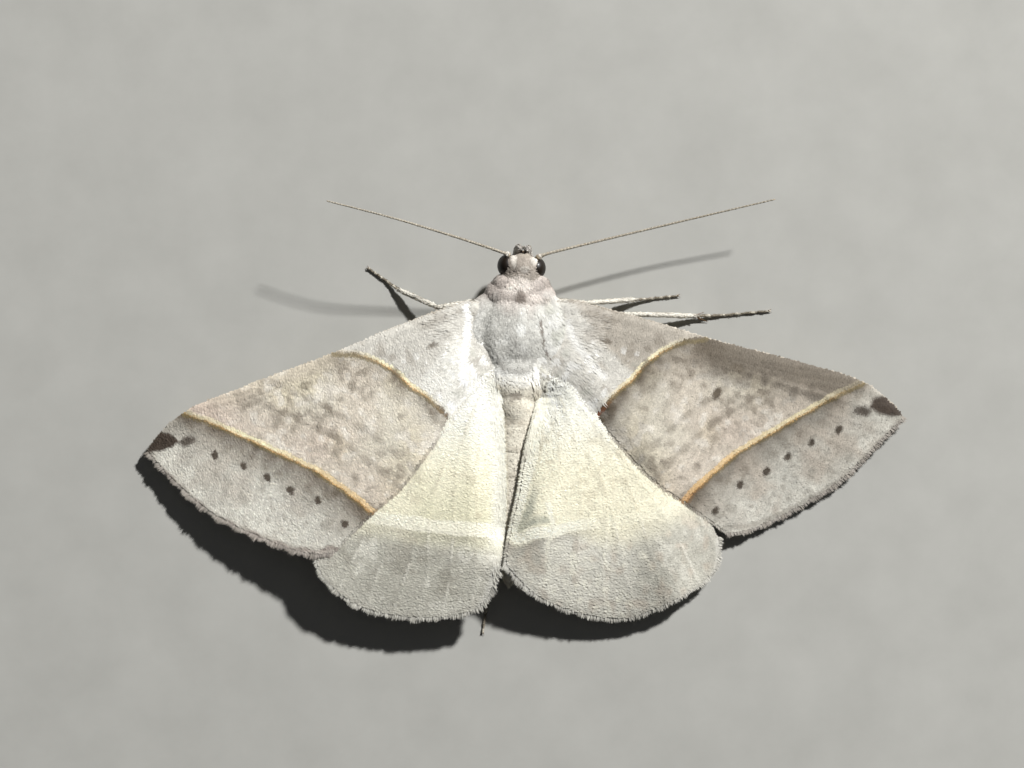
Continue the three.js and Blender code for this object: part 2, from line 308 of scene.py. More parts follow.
body = {
    "voxel": 0.06,
    "lobes": {  # place, centre, radii
        "thorax": (bodyPlace, (0, 0.1, 2.6), (1.95, 2.3, 1.1)),
        "rump": (bodyPlace, (0, -2.15, 2.32), (1.9, 2.0, 1.14)),
        "waist": (bodyPlace, (0, -3.6, 2.2), (1.15, 1.6, 1.04)),
        "tegula_right": (bodyPlace, (1.5, -0.2, 2.78), (1.1, 2.2, 0.56)),
        "tegula_left": (bodyPlace, (-1.45, -0.2, 2.7), (1.2, 2.2, 0.56)),
        "shoulder": (bodyPlace, (-0.75, -0.2, 2.72), (1.2, 2.1, 0.87)),
        "collar": (bodyPlace, (0.04, 1.9, 2.62), (1.78, 1.05, 0.88)),
        "neck": (bodyPlace, (0.08, 2.4, 2.78), (1.46, 0.74, 0.76)),
        "skull": (headPlace, (0.08, 0.5, 2.84), (0.9, 0.94, 0.74)),
        "brow_right": (headPlace, (0.6, 0.82, 2.98), (0.38, 0.62, 0.44)),
        "brow_left": (headPlace, (-0.5, 0.8, 2.98), (0.38, 0.62, 0.44)),
        "frons": (headPlace, (0.04, 1.2, 2.55), (0.56, 0.42, 0.66)),
    },
    "evening": {"allRounds": 3, "rounds": 22, "above": 1.5, "within": 2.7, "ahead": -5},
    "abdomen": {"front": (0, -2.0, 2.12), "rear": (0, -12.9, 1.26), "halfWidth": 1.5, "flatness": 0.76,
                "segments": 8, "groove": 0.016},
    "femur": [(0, 0.14), (0.12, 0.19), (0.5, 0.2), (0.9, 0.13), (1, 0.1)],
    "tibia": [(0, 0.1), (0.15, 0.12), (0.8, 0.125), (1, 0.1)],
    "tarsus": [(0, 0.085), (1, 0.055)],
    "palp": [(0, 0.12), (0.25, 0.2), (0.62, 0.2), (0.7, 0.17), (0.95, 0.15), (1, 0.09)],
}
palpPoints = [(0.38, 1.2, 1.8), (0.3, 1.76, 2.12), (0.22, 1.86, 2.7), (0.19, 1.86, 3.05)]


def abdomenRadius(share, ringed=True):
    taper = body["abdomen"]["halfWidth"] * (1 - 0.75 * share ** 1.6)
    if not ringed:
        return taper
    ringShare = (share * body["abdomen"]["segments"]) % 1
    return taper * (1 - body["abdomen"]["groove"] * np.exp(-(ringShare / 0.1) ** 2)) + 0.02 * ringShare


limbs = {}  # name: (line of centres, radii)
stations = np.linspace(0, 1, 90)
ends = moved(bodyPlace, [body["abdomen"]["front"], body["abdomen"]["rear"]])
roundEnd = np.sqrt(np.clip(1 - ((stations - 0.93) / 0.07).clip(0, 1) ** 2, 0.02, 1))
limbs["abdomen"] = (ends[0] + np.outer(stations, ends[1] - ends[0]), abdomenRadius(stations) * roundEnd)
for sideName, side in sides.items():
    palpLine = moved(headPlace, np.array(palpPoints) * (side["sign"], 1, 1))
    limbs["palp_" + sideName] = (curve(palpLine, 24), None)
    for pair, (hip, knee, ankle, instep, toe) in side["legs"].items():
        leg = f"{pair}leg_{sideName}_"
        limbs[leg + "femur"] = (curve([hip, knee], 16), None)
        limbs[leg + "tibia"] = (curve([knee, ankle], 16), None)
        limbs[leg + "tarsus"] = (curve([ankle, instep, toe], 40), None)
for name, (line, radii) in limbs.items():
    if radii is None:
        kind = name.split("_")[-1] if "leg" in name else "palp"
        profile = np.array(body[kind])
        shares = np.linspace(0, 1, len(line))
        radii = np.interp(shares, profile[:, 0], profile[:, 1])
        if kind == "tarsus":  # five segments, each widest at its end
            radii = radii * (0.88 + 0.24 * ((shares * 5) % 1))
        limbs[name] = (line, radii)

bm = bmesh.new()
for place, centre, radii in body["lobes"].values():
    matrix = place @ Matrix.Translation(centre) @ Matrix.Diagonal((*radii, 1))
    bmesh.ops.create_uvsphere(bm, u_segments=36, v_segments=24, radius=1, matrix=matrix)
for name, (line, radii) in limbs.items():
    tube(bm, line, radii, *((28, body["abdomen"]["flatness"]) if name == "abdomen" else (12, 1)))
for side in sides.values():  # the hips, from the underside of the thorax
    for hip, *_ in side["legs"].values():
        line = [(hip[0] * 0.55, hip[1] + 0.25, 1.75), hip, np.array(hip) * (1.06, 1, 1)]
        tube(bm, line, (0.3, 0.22, 0.18), 12)
bmesh.ops.recalc_face_normals(bm, faces=bm.faces)
raw = bpy.data.objects.new("raw", toMesh("raw", bm))
bpy.context.scene.collection.objects.link(raw)
remesh = raw.modifiers.new("skin", "REMESH")
remesh.mode, remesh.voxel_size = "VOXEL", body["voxel"]
evaluated = raw.evaluated_get(bpy.context.evaluated_depsgraph_get())
flesh = bpy.data.meshes.new_from_object(evaluated)
bpy.data.objects.remove(raw)
bm = bmesh.new()
bm.from_mesh(flesh)
even = body["evening"]  # the trunk's lobes run together smoothly under its hair
relax(bm, bm.verts, even["allRounds"])
trunk = [v for v in bm.verts
         if v.co.z > even["above"] and abs(v.co.x) < even["within"] and v.co.y > even["ahead"]]
relax(bm, trunk, even["rounds"])
bm.faces.ensure_lookup_table()
faceMiddles = np.array([f.calc_center_median() for f in bm.faces])
bm.normal_update()
faceNormals = np.array([f.normal for f in bm.faces])
print("flesh remeshed:", len(bm.faces), "faces")


def partOf(points):
    # the name of the body part that each point belongs to
    names, values = [], []
    for name, (place, centre, radii) in body["lobes"].items():
        local = moved(place.inverted(), points) - centre
        names.append(name)
        values.append(np.linalg.norm(local / radii, axis=1))
    for name, (line, radii) in limbs.items():
        _, distance, share, _ = nearest(points, line)
        names.append(name)
        values.append(distance / np.interp(share, np.linspace(0, 1, len(radii)), radii))
    return np.array(names)[np.argmin(values, axis=0)]


# Wings: outlines from the hinge (forewing: outward, rearward) or about the hinges (hindwing)

foreWing = {
    "leading": [(-0.5, -0.8), (1, -1.2), (4.5, -1.36), (8, -1.35), (13, -1.52), (16, -1.48), (18, -0.8),
                (19.2, 0.05)],
    "outer": [(19.2, 0.05), (18.3, 1.7), (16.85, 4.2), (14.8, 6.35), (12.9, 7.85), (11.6, 8.35)],
    "trailing": [(-0.5, 2.6), (1.3, 3.05), (3.4, 4.4), (6.6, 6.5), (8.9, 7.4), (11.6, 8.35)],
    "hingeHeight": 3.45, "slope": 0.05, "tipDroop": 0.0045, "rearRise": 0.1, "riseReach": 14,
    "rootDip": 0.16,
    "membraneShift": -0.2,
    "root": (-1.5, 0.6),
    "veins": [
        [(0, -0.6), (4, -1.0), (9, -1.15), (12, -1.5)],
        [(0, -0.1), (5, -0.45), (8.6, -0.55), (12, -0.95), (15, -1.5)],
        [(8.6, -0.55), (13, -0.75), (16.4, -1.4)],
        [(9.3, -0.35), (13.5, -0.45), (17.6, -0.95)],
        [(9.7, -0.1), (14, 0.05), (18.6, -0.4)],
        [(9.9, 0.4), (14, 0.75), (18.7, 0.95)],
        [(9.6, 1.5), (13.5, 1.95), (17.9, 2.35)],
        [(9.4, 1.8), (13.2, 2.75), (17.1, 3.8)],
        [(0, 0.3), (4, 1.0), (8.8, 1.75), (12, 3.2), (15.9, 5.3)],
        [(6.6, 1.5), (10.4, 3.7), (14.3, 6.8)],
        [(0, 1.0), (3.4, 2.7), (8, 5.2), (12.4, 8.0)],
        [(9.6, -0.1), (9.4, 0.7), (9.6, 1.5)],
    ],
}
hindWings = {
    "right": {
        "leading": [(0.8, -1.4), (3.6, -2.6), (6.8, -5.3), (9.4, -8.8), (10.6, -10.9)],
        "outer": [(10.6, -10.9), (10.25, -13), (7.6, -14.7), (4.9, -15.35), (1.25, -14.2), (-0.9, -12)],
        "trailing": [(0.8, -2.2), (1.1, -3.5), (0.42, -5.86), (-0.08, -8.2), (-0.66, -10.5), (-0.9, -12)],
    },
    "left": {
        "leading": [(-0.8, -1.2), (-3.6, -2.9), (-6.8, -6), (-9.6, -9.6), (-10.76, -11.75)],
        "outer": [(-10.76, -11.75), (-10.03, -13.4), (-8.04, -14.8), (-5, -15.26), (-2.1, -14.65),
                  (-1.05, -12.4)],
        "trailing": [(-0.8, -2), (-0.9, -3.4), (-0.78, -5.6), (-0.66, -8.2), (-0.78, -10.5), (-1.05, -12.4)],
    },
    "frontHeight": 3.5, "rearDroop": 0.085, "curlFrom": 9, "underFore": 0.58, "membraneShift": 0.26,
    "root": (1.0, -0.6),
}
membrane = {"along": 84, "across": 40, "thickness": 0.04, "vein": 0.008, "veinWidth": 0.14, "sag": 0.006,
            "rearReach": 0.7, "frontRoll": 0.08, "drape": 1.9}


def wingPatch(wing, s, t):
    # a surface filled in between the four edges: s runs out from the root, t from front to rear
    edges = [curve(wing[k], 240) for k in ("leading", "outer", "trailing")]
    even = np.linspace(0, 1, 240)
    lead, side, trail = (np.column_stack([np.interp(x, even, e[:, k]) for k in (0, 1)])
                         for x, e in ((s, edges[0]), (t, edges[1]), (s, edges[2])))
    s, t = s[:, None], t[:, None]
    return lead * (1 - t) + trail * t + s * side - s * ((1 - t) * edges[0][-1] + t * edges[2][-1])


def wingOutline(wing, shrink=(0, 1, 0, 1)):
    s0, s1, t0, t1 = shrink
    along, across = np.linspace(s0, s1, 60), np.linspace(t0, t1, 40)
    loop = [(s, t0) for s in along] + [(s1, t) for t in across] + [(s, t1) for s in along[::-1]]
    loop = np.array(loop)
    return wingPatch(wing, loop[:, 0], loop[:, 1])


def foreFrame(side):
    turn = math.radians(side["sweep"])
    outward = np.array((math.cos(turn) * side["sign"], -math.sin(turn))) * side["length"]
    rearward = np.array((-math.sin(turn) * side["sign"], -math.cos(turn))) * side["length"]
    return np.array(side["hinge"], float), np.array((outward, rearward))


def fromFore(side, flat):
    hinge, axes = foreFrame(side)
    return hinge + flat @ axes


def toFore(side, places):
    hinge, axes = foreFrame(side)
    return (places - hinge) @ np.linalg.inv(axes)


def foreHeight(side, flat):
    reach = np.maximum(0, flat[:, 0] * side["length"])
    back = flat[:, 1] * side["length"]
    rise = foreWing["rearRise"] * back * np.maximum(0, 1 - reach / foreWing["riseReach"])
    lean = side["lean"] * np.maximum(0, back) * ramp(reach, 6, 14)
    root = foreWing["rootDip"] * ramp(1.9 - flat[:, 0], 0, 1.9)
    root = root * ramp(back, -1.5, 0.5) * ramp(4.0 - back, 0, 1.2)
    outwards = foreWing["hingeHeight"] - foreWing["slope"] * reach - foreWing["tipDroop"] * reach ** 2
    return outwards + rise + lean - root


def hindHeight(side, places):
    look, (x, y) = hindWings, places.T
    curl = side["curl"] * np.maximum(0, -y - look["curlFrom"]) ** 2
    own = look["frontHeight"] + look["rearDroop"] * y - side["sideDroop"] * np.abs(x) - curl
    under = foreHeight(side, toFore(side, places)) - look["underFore"]
    soft = 0.12  # the lower of the two, blended where they meet
    return -soft * np.log(np.exp(-own / soft) + np.exp(-under / soft))


def relief(flat, veins):
    distance = np.min([nearest(flat, vein)[1] for vein in veins], axis=0)
    ridge = membrane["vein"] * np.exp(-(distance / membrane["veinWidth"]) ** 2)
    dip = membrane["sag"] * (1 - np.exp(-(distance / 0.45) ** 2))
    return ridge - dip + 0.03 * noise(flat, 2.6, 3)


def hindVeins(wing):
    # veins fan out from the root: the share across there and at the edge, and where each starts
    fan = [(0.1, 0.06, 0), (0.3, 0.2, 0), (0.3, 0.33, 0.45), (0.42, 0.45, 0.4), (0.42, 0.55, 0.45),
           (0.42, 0.65, 0), (0.6, 0.77, 0), (0.8, 0.9, 0)]
    lines = []
    for rootShare, edgeShare, start in fan:
        s = np.linspace(start, 0.97, 8)
        lines.append(wingPatch(wing, s, rootShare + (edgeShare - rootShare) * ramp(s, start, 0.9)))
    return lines


wings = {}
for sideName, side in sides.items():
    outer = side.get("outer", foreWing["outer"])
    edges = dict(foreWing, outer=outer, trailing=foreWing["trailing"][:-1] + outer[-1:])
    wings["forewing_" + sideName] = {
        "side": side, "sideName": sideName, "edges": edges, "veins": foreWing["veins"],
        "root": np.array(foreWing["root"]), "shift": foreWing["membraneShift"], "kind": "forewing",
        "toFlat": fromFore, "height": foreHeight,
    }
    edges = hindWings[sideName]
    wings["hindwing_" + sideName] = {
        "side": side, "sideName": sideName, "edges": edges, "veins": hindVeins(edges),
        "root": np.array(hindWings["root"]) * (side["sign"], 1), "shift": hindWings["membraneShift"],
        "kind": "hindwing", "toFlat": lambda side, places: places, "height": hindHeight,
    }
for wing in wings.values():
    wing["rearLine"], wing["frontLine"] = (curve(wing["edges"][edge], 40) for edge in ("trailing", "leading"))


def abdomenTop(places):
    # how high the abdomen's back is below each place, and how far across from its middle the place lies
    start, end = limbs["abdomen"][0][[0, -1]]
    length = np.linalg.norm((end - start)[:2])
    along = (end - start)[:2] / length
    share = np.clip((places - start[:2]) @ along / length, 0, 1)
    aside = np.abs((places - start[:2]) @ (along[1], -along[0]))
    radius = abdomenRadius(share, False) + 0.03
    middle = start[2] + (end[2] - start[2]) * share
    rise = np.sqrt(np.maximum(radius ** 2 - aside ** 2, 0.08))
    return middle + body["abdomen"]["flatness"] * rise, aside / radius


def onWing(wing, flat):
    # the place of a wing's flat coordinates in space
    places = wing["toFlat"](wing["side"], flat)
    height = wing["height"](wing["side"], flat) + wing["shift"] + relief(flat, wing["veins"])
    rear = nearest(flat, wing["rearLine"])[1]
    if wing["kind"] == "forewing":  # its rear edge rests on the hindwing, and its front edge rolls over
        rest = onWing(wings["hindwing_" + wing["sideName"]], places)[:, 2] + membrane["thickness"] + 0.01
        rest -= 0.07 * ramp(4.6 - flat[:, 0], 0, 1.4)  # sunk into the hindwing's scales near the hinge
        height += (rest - height) * np.exp(-(rear / membrane["rearReach"]) ** 2)
        front = nearest(flat, wing["frontLine"])[1]
        height -= membrane["frontRoll"] * np.exp(-(front / 0.3) ** 2)
    else:  # its inner edge drapes onto the abdomen
        back = abdomenTop(places - nearest(flat, wing["rearLine"])[0])[0]
        drape = 1 - ramp(rear, 0, membrane["drape"])
        drape = drape * ramp(-places[:, 1], 1.6, 3.4) * ramp(12.6 + places[:, 1], 0, 2.5)
        rootGap, gap = wing["side"]["gaps"]
        gap = rootGap + (gap - rootGap) * ramp(-places[:, 1], 3.4, 5.2)
        height = height + (np.minimum(back + gap, height) - height) * drape
        back, aside = abdomenTop(places)
        height = np.where(aside < 1, np.maximum(height, back + 0.09), height)
    return np.column_stack([places, height])


def wingNormals(wing, flat, step=0.04):
    here = onWing(wing, flat)
    ahead = onWing(wing, flat + (step, 0)) - here
    beside = onWing(wing, flat + (0, step)) - here
    normals = unit(np.cross(ahead, beside))
    normals *= np.sign(normals[:, 2:])
    # scales lie flatter where the wing folds steeply
    normals[:, 2] += 2.5 * ramp(0.75 - normals[:, 2], 0, 0.25)
    return here, unit(normals), ahead / step, beside / step


def rootedOn(wing, flat, heading):
    # places on the wing, their normals, and a flat heading turned into space
    places, normals, ahead, beside = wingNormals(wing, flat)
    return places, normals, ahead * heading[:, :1] + beside * heading[:, 1:]


def keepOnly(keep, *arrays):
    return (a[keep] for a in arrays)


print("wings laid out")


# Markings: the same functions colour the skin and the scales that grow on it

foreLook = {
    "basal": "#c9c5bb", "basalWarm": "#b5ada0", "basalPale": "#ebe9e0", "basalWhite": "#fbfaf5",
    "sage": "#b9b8ab", "median": "#d3ccbb", "costal": "#cbc1ae", "costalDark": "#7e7568",
    "costaEdge": "#84745e", "fleck": "#8a8072", "mist": "#ece6da", "blush": "#cfbcae", "gold": "#d8ccae",
    "outer": "#c6c1b5", "outerPale": "#dddace", "outerWarm": "#c4b5a4", "shade": "#5f5445", "line": "#f3ecc9",
    "lineRear": "#d2a364", "lineHem": "#776a49", "rust": "#8a4426", "patch": "#40342a", "dot": "#4c4237",
    "edge": "#8f877b", "fringe": "#aca49b", "band": "#988b82", "vein": "#ded8cc", "under": "#c9c0b0",
}
foreLines = {
    "inner": [(7.5, -1.25), (6.4, -0.75), (5.6, -0.1), (5.0, 0.65), (4.4, 1.8), (3.8, 2.7), (3.35, 3.45),
              (3.0, 4.3)],
    "outer": [(16.1, -1.35), (14.8, -0.15), (13.65, 0.95), (12.4, 2.25), (11.2, 3.46), (10.15, 4.76),
              (9.3, 6.1),
              (8.6, 7.5)],
    "dots": [(15.6, 1.45), (14.4, 2.5), (13.45, 3.55), (12.55, 4.6), (11.4, 5.6), (10.55, 7.25)],
    "apex": [(16.95, 0.12), (17.05, -0.3), (17.7, -0.66), (18.4, -0.5), (19.05, -0.04), (18.1, 0.15)],
}
foreSides = {  # what differs between the two forewings
    "left": {
        "basal": "basal", "outerWarm": 0.2, "rearPale": 0.5, "whiteFrom": (0.32, 0.53,
                                                                           1.54), "ridgeShare": 0.8,
        "innerShade": (0.85, 1.0), "outerShade": (0.85 + 0.15, 1.0, 0), "rust": (0.2, 0.1), "orange": 0.7,
        "faintest": 0.5, "boldFrom": 0.05, "dotShift": (-0.17, 0), "cellDepth": 0.5, "apexShift": (0, 0),
        # painted light and shade: the left forewing lighter, the right darker, for how each faces the lamp
        "apexSoft": -0.15, "brightness": 1.17,
        "ridge": [(0.05, -1.1), (0.32, -0.15), (0.8, 0.8), (1.33, 1.7), (1.8, 2.6)],
    },
    "right": {
        "basal": "basalWarm", "outerWarm": 0.5, "rearPale": 0.35, "whiteFrom": (-0.34, 0.55,
                                                                                1.14), "ridgeShare": 0.6,
        "innerShade": (1.25, 1.5), "outerShade": (0.85, 0.76, 0.2), "rust": (0.9, 0.3), "orange": 0.9,
        "faintest": 0.15, "boldFrom": 0.06, "dotShift": (0, 0), "cellDepth": 0.95, "apexShift": (0.1, 0.17),
        "apexSoft": -0.25, "brightness": 0.95,
        "ridge": [(0.35, 0.1), (0.97, 0.8), (1.9, 1.5), (3.0, 2.1)],
    },
}


def foreColour(wing, flat):
    look, own, count = foreLook, foreSides[wing["sideName"]], len(flat)
    u, v = flat.T
    left = wing["sideName"] == "left"
    inner, innerShare = fromLine(flat, curve(foreLines["inner"], 40)[::-1])  # above zero towards the wing tip
    outer, outerShare = fromLine(flat, curve(foreLines["outer"], 40)[::-1])
    innerShare, outerShare = 1 - innerShare, 1 - outerShare
    margin = -fromLine(flat, wingEdge(wing, "outer"))[0]
    front = nearest(flat, wing["frontLine"])[1]
    lumps, fine, dust = noise(flat, 1.3, 1), noise(flat, 0.42, 2), noise(flat, 0.16, 4)
    # between the lines: pale, clouded, with soft grey-brown spots in rows across the wing
    colour = Paint(look, "median", count)
    colour.over("blush", 0.35 * ramp(noise(flat, 2.1, 31), 0, 0.9))
    colour.over("gold", 0.5 * ramp(noise(flat, 1.9, 33), 0.05, 0.8))
    colour.over("costal", ramp(-v, 0.1, 1.0))
    colour.over("blush", 0.35 * ramp(outer + 3.2, 0, 2.4))
    colour.over("mist", 0.4 * ramp(2.6 - inner, 0, 1.8) * ramp(v, 0.8, 2.4))
    patchy = noise(flat / (1.0, 1.15), 0.42, 5) + 0.4 * noise(flat, 0.2, 6)
    spots = patchy + 0.5 * noise(flat / (1.0, 1.4), 1.1, 37) * ramp(v, -0.6, 0.2)
    colour.over("mist", 0.6 * ramp(-patchy + 0.3 * fine, 0.15, 0.9))
    colour.over("fleck", 0.68 * ramp(spots, 0.2, 1.15) * ramp(v, -1.35, -0.5))
    colour.over("fleck", 0.25 * ramp(fine + 0.4 * dust, 0.1, 0.9))
    for row in (1.9, 3.1):  # soft spots between the veins, this far inside the outer line
        steps = outerShare * 13 + row
        away = np.hypot((outer + row) / 0.24, ((steps % 1) - 0.5) * 1.9) + 0.35 * fine
        colour.over("fleck", 0.5 * ramp(1.2 - away, 0, 0.9) * ramp(outerShare, 0.1, 0.3))
    if left:
        colour.over("blush", 0.6 * ramp(1.3 + outer, 0, 1.2) * ramp(0.4 - outerShare, 0, 0.3))
    else:
        colour.over("costalDark", ramp(1.1 - v - 0.4 * patchy, 0, 1.5) * ramp(u, 6, 8))
    # outside the outer line: greyer and streaked along the wing
    beyond = Paint(look, "outer", count).over("outerWarm", own["outerWarm"] * ramp(lumps, -0.3, 0.7))
    streak = noise(flat / (1.6, 0.7), 0.8, 8) + 0.6 * fine + own["rearPale"] * ramp(v, 2.5, 5.5)
    beyond.over("outerPale", 0.9 * ramp(streak, -0.6, 1.1) * ramp(outer, 0.7, 2.0))
    beyond.over("fleck", 0.35 * ramp(fine + 0.4 * dust, 0.15, 0.9))
    colour.over(beyond, ramp(outer, -0.1, 0.5))
    # towards the hinge: whiter, with a white ridge of hair
    basal = Paint(look, own["basal"], count).over("fleck", 0.45 * ramp(fine + 0.5 * lumps, 0.1, 1.1))
    level, slope, begin = own["whiteFrom"]
    white = v - (level + slope * (u - begin))
    white = ramp(white + 0.25 * lumps, -0.15, 0.35) * (0.72 * ramp(u, 0.9, 1.3) if left else 0.6)
    cloud = 1 - 0.65 * ramp(noise(flat, 0.55, 39) + 0.4 * fine, 0.0, 0.8)
    basal.over("basalPale", white * cloud)
    flakes = noise(flat / (0.8, 1.1), 0.45, 45) + 0.3 * fine
    basal.over("basalWhite", 0.6 * ramp(flakes, 0.35, 0.7) * ramp(v, 0.2, 0.8))
    basal.over("sage", 0.5 * ramp(-flakes, 0.3, 0.8) * ramp(v, 0.6, 1.4))
    ridge = band(nearest(flat, own["ridge"])[1], 0.28, 0.2)
    basal.over("basalWhite", own["ridgeShare"] * ridge * (1 - 0.5 * ramp(fine, 0, 0.8)))
    colour.over(basal, ramp(-inner, -0.05, 0.15))
    # shading outside both lines, deepest towards the rear
    reach, depth = own["innerShade"]
    dark = np.where(inner > 0, np.exp(-(np.maximum(inner, 0) / reach) ** 1.3), 0) * (0.5 + 0.25 * innerShare)
    colour.over("shade", dark * (1 + 0.3 * fine) * depth)
    reach, depth, deepening = own["outerShade"]
    reach = reach + 0.5 * outerShare ** 2
    dark = np.where(outer > 0, np.exp(-(np.maximum(outer, 0) / reach) ** 1.4), 0)
    colour.over("shade", dark * (depth + deepening * outerShare) * (1 + 0.25 * fine))
    # the lines: cream with a fine dark hem outside, more orange towards the rear
    wobble = 0.05 * noise(flat, 0.5, 35)
    innerRust, outerRust = own["rust"]
    innerBold = ramp(np.minimum(innerShare - 0.1, 0.9 - innerShare), 0, 0.3)
    outerBold = own["faintest"] + (1 - own["faintest"]) * ramp(outerShare, own["boldFrom"], 0.3)
    for away, share, half, rust, orange, bold in (
        (inner, innerShare, 0.13, innerRust, 0.35, innerBold),
        (outer, outerShare, 0.15, outerRust, own["orange"], outerBold),
    ):
        away = away + wobble
        hem = Paint(look, "lineHem", count).over("rust", rust * ramp(share, 0.75, 0.95))
        colour.over(hem, 0.7 * band(away - half - 0.04, 0.15, 0.1))
        cream = Paint(look, "line", count)
        cream.over("lineRear", orange * (0.2 + 0.6 * ramp(share + 0.1 * fine, 0.3, 0.9)))
        cream.over("rust", rust * ramp(share, 0.86, 0.97))
        colour.over(cream, bold * band(away, half, 0.07))
        warm = Paint(look, "lineRear", count).over("rust", rust * ramp(share, 0.82, 0.95))
        colour.over(warm, 0.5 * bold * band(away - half + 0.03, 0.08, 0.06))
    # veins, the row of dots and the marks of the cell
    veins = np.min([nearest(flat, vein)[1] for vein in wing["veins"]], axis=0)
    broken = ramp(noise(flat, 1.2, 9), -0.3, 0.5)
    colour.over("vein", 0.3 * broken * band(veins, 0.13, 0.1) * ramp(outer, 0.9, 1.8))
    for place in foreLines["dots"]:
        away = spotAway(flat - place, own["dotShift"], (0.17, 0.22), 0.3 * dust) + 0.2 * fine
        colour.over("dot", 0.95 * ramp(1.5 - away, 0, 0.8))
    for place, size, depth in (((8.9, 1.35), (0.2, 0.3), own["cellDepth"]), ((9.6, -0.15), (0.34, 0.22), 0.5),
                               ((4.95, 1.0), (0.22, 0.3), 0.7), ((2.6, 0.35), (0.3, 0.14), 0.7)):
        colour.over("shade", depth * ramp(1.4 - spotAway(flat, place, size, 0.3 * dust), 0, 0.8))
    # the dark patch at the wing tip, a smaller one beside it, and the pale scales below
    nudged = flat + own["apexShift"]
    away, _ = fromLine(nudged, foreLines["apex"] + foreLines["apex"][:1])
    rim = np.where(inside(nudged, foreLines["apex"]), 1, -1) * np.abs(away) + 0.08 * fine
    patch = ramp(rim, own["apexSoft"], 0.03)
    colour.over("patch", 0.97 * patch)
    colour.over("patch", 0.85 * ramp(1.5 - spotAway(flat, (16.5, 0.22), (0.42, 0.22), 0.3 * dust), 0, 0.9))
    colour.over("outerPale", 0.6 * ramp(1.3 - spotAway(flat, (18.0, 0.75), (0.8, 0.5)), 0, 0.8) * (1 - patch))
    # the edges
    colour.over("costaEdge", 0.6 * band(front, 0.17, 0.12))
    colour.over("edge", 0.4 * band(margin - 0.5, 0.2, 0.14))
    if left:  # a wavy, darker, pinkish band along the outer margin
        wave = margin - 0.33 - 0.07 * np.sin(np.arctan2(v - 3, u - 10) * 26)
        colour.over("band", 0.65 * band(wave, 0.26, 0.14))
    # the whole wing is scaled by painted light and shade: lighter on the left, darker on the right
    return colour.over("fringe", 0.75 * ramp(0.3 - margin, 0, 0.2)).colour * own["brightness"]


hindLook = {
    "base": "#fffef4", "middle": "#fcf6dc", "sand": "#e0dac0", "olive": "#dcd8ba", "fleck": "#c4baa0",
    "outer": "#bbb8ac", "outerDark": "#9e998d", "outerPale": "#dddace", "warm": "#bba997",
    "hollow": "#aeb1a2", "line": "#fffbe8", "vein": "#f3efe2", "edge": "#bcb8ac", "fringe": "#d5d2c8",
    "inner": "#fbf8ea", "under": "#d3cab8",
}
hindLines = {
    "right": [(1.3, -3.6), (0.98, -5.2), (0.7, -6.5), (0.48, -7.2), (0.32, -8.0), (0.06, -8.95),
              (-0.12, -9.6),
              (-0.34, -10.15), (-0.28, -10.55), (-0.02, -10.74), (0.36, -10.66), (0.75, -10.43), (1.86,
                                                                                                  -10.32),
              (2.6, -10.1), (3.3, -9.98), (4.9, -9.85), (6.6, -9.6), (9.2, -8.8), (10.4, -8.5)],
    "left": [(-0.6, -10.3), (-1.1, -10.34), (-3.8, -10.1), (-6.7, -9.75), (-9.0, -9.45), (-10.4, -9.25)],
}


def wingEdge(wing, name):
    # an edge of the wing as a line, heading so that the wing lies on its right
    line = curve(wing["edges"][name], 80)
    middle = wingPatch(wing["edges"], np.array([0.6]), np.array([0.5]))
    return line if fromLine(middle, line)[0][0] < 0 else line[::-1]


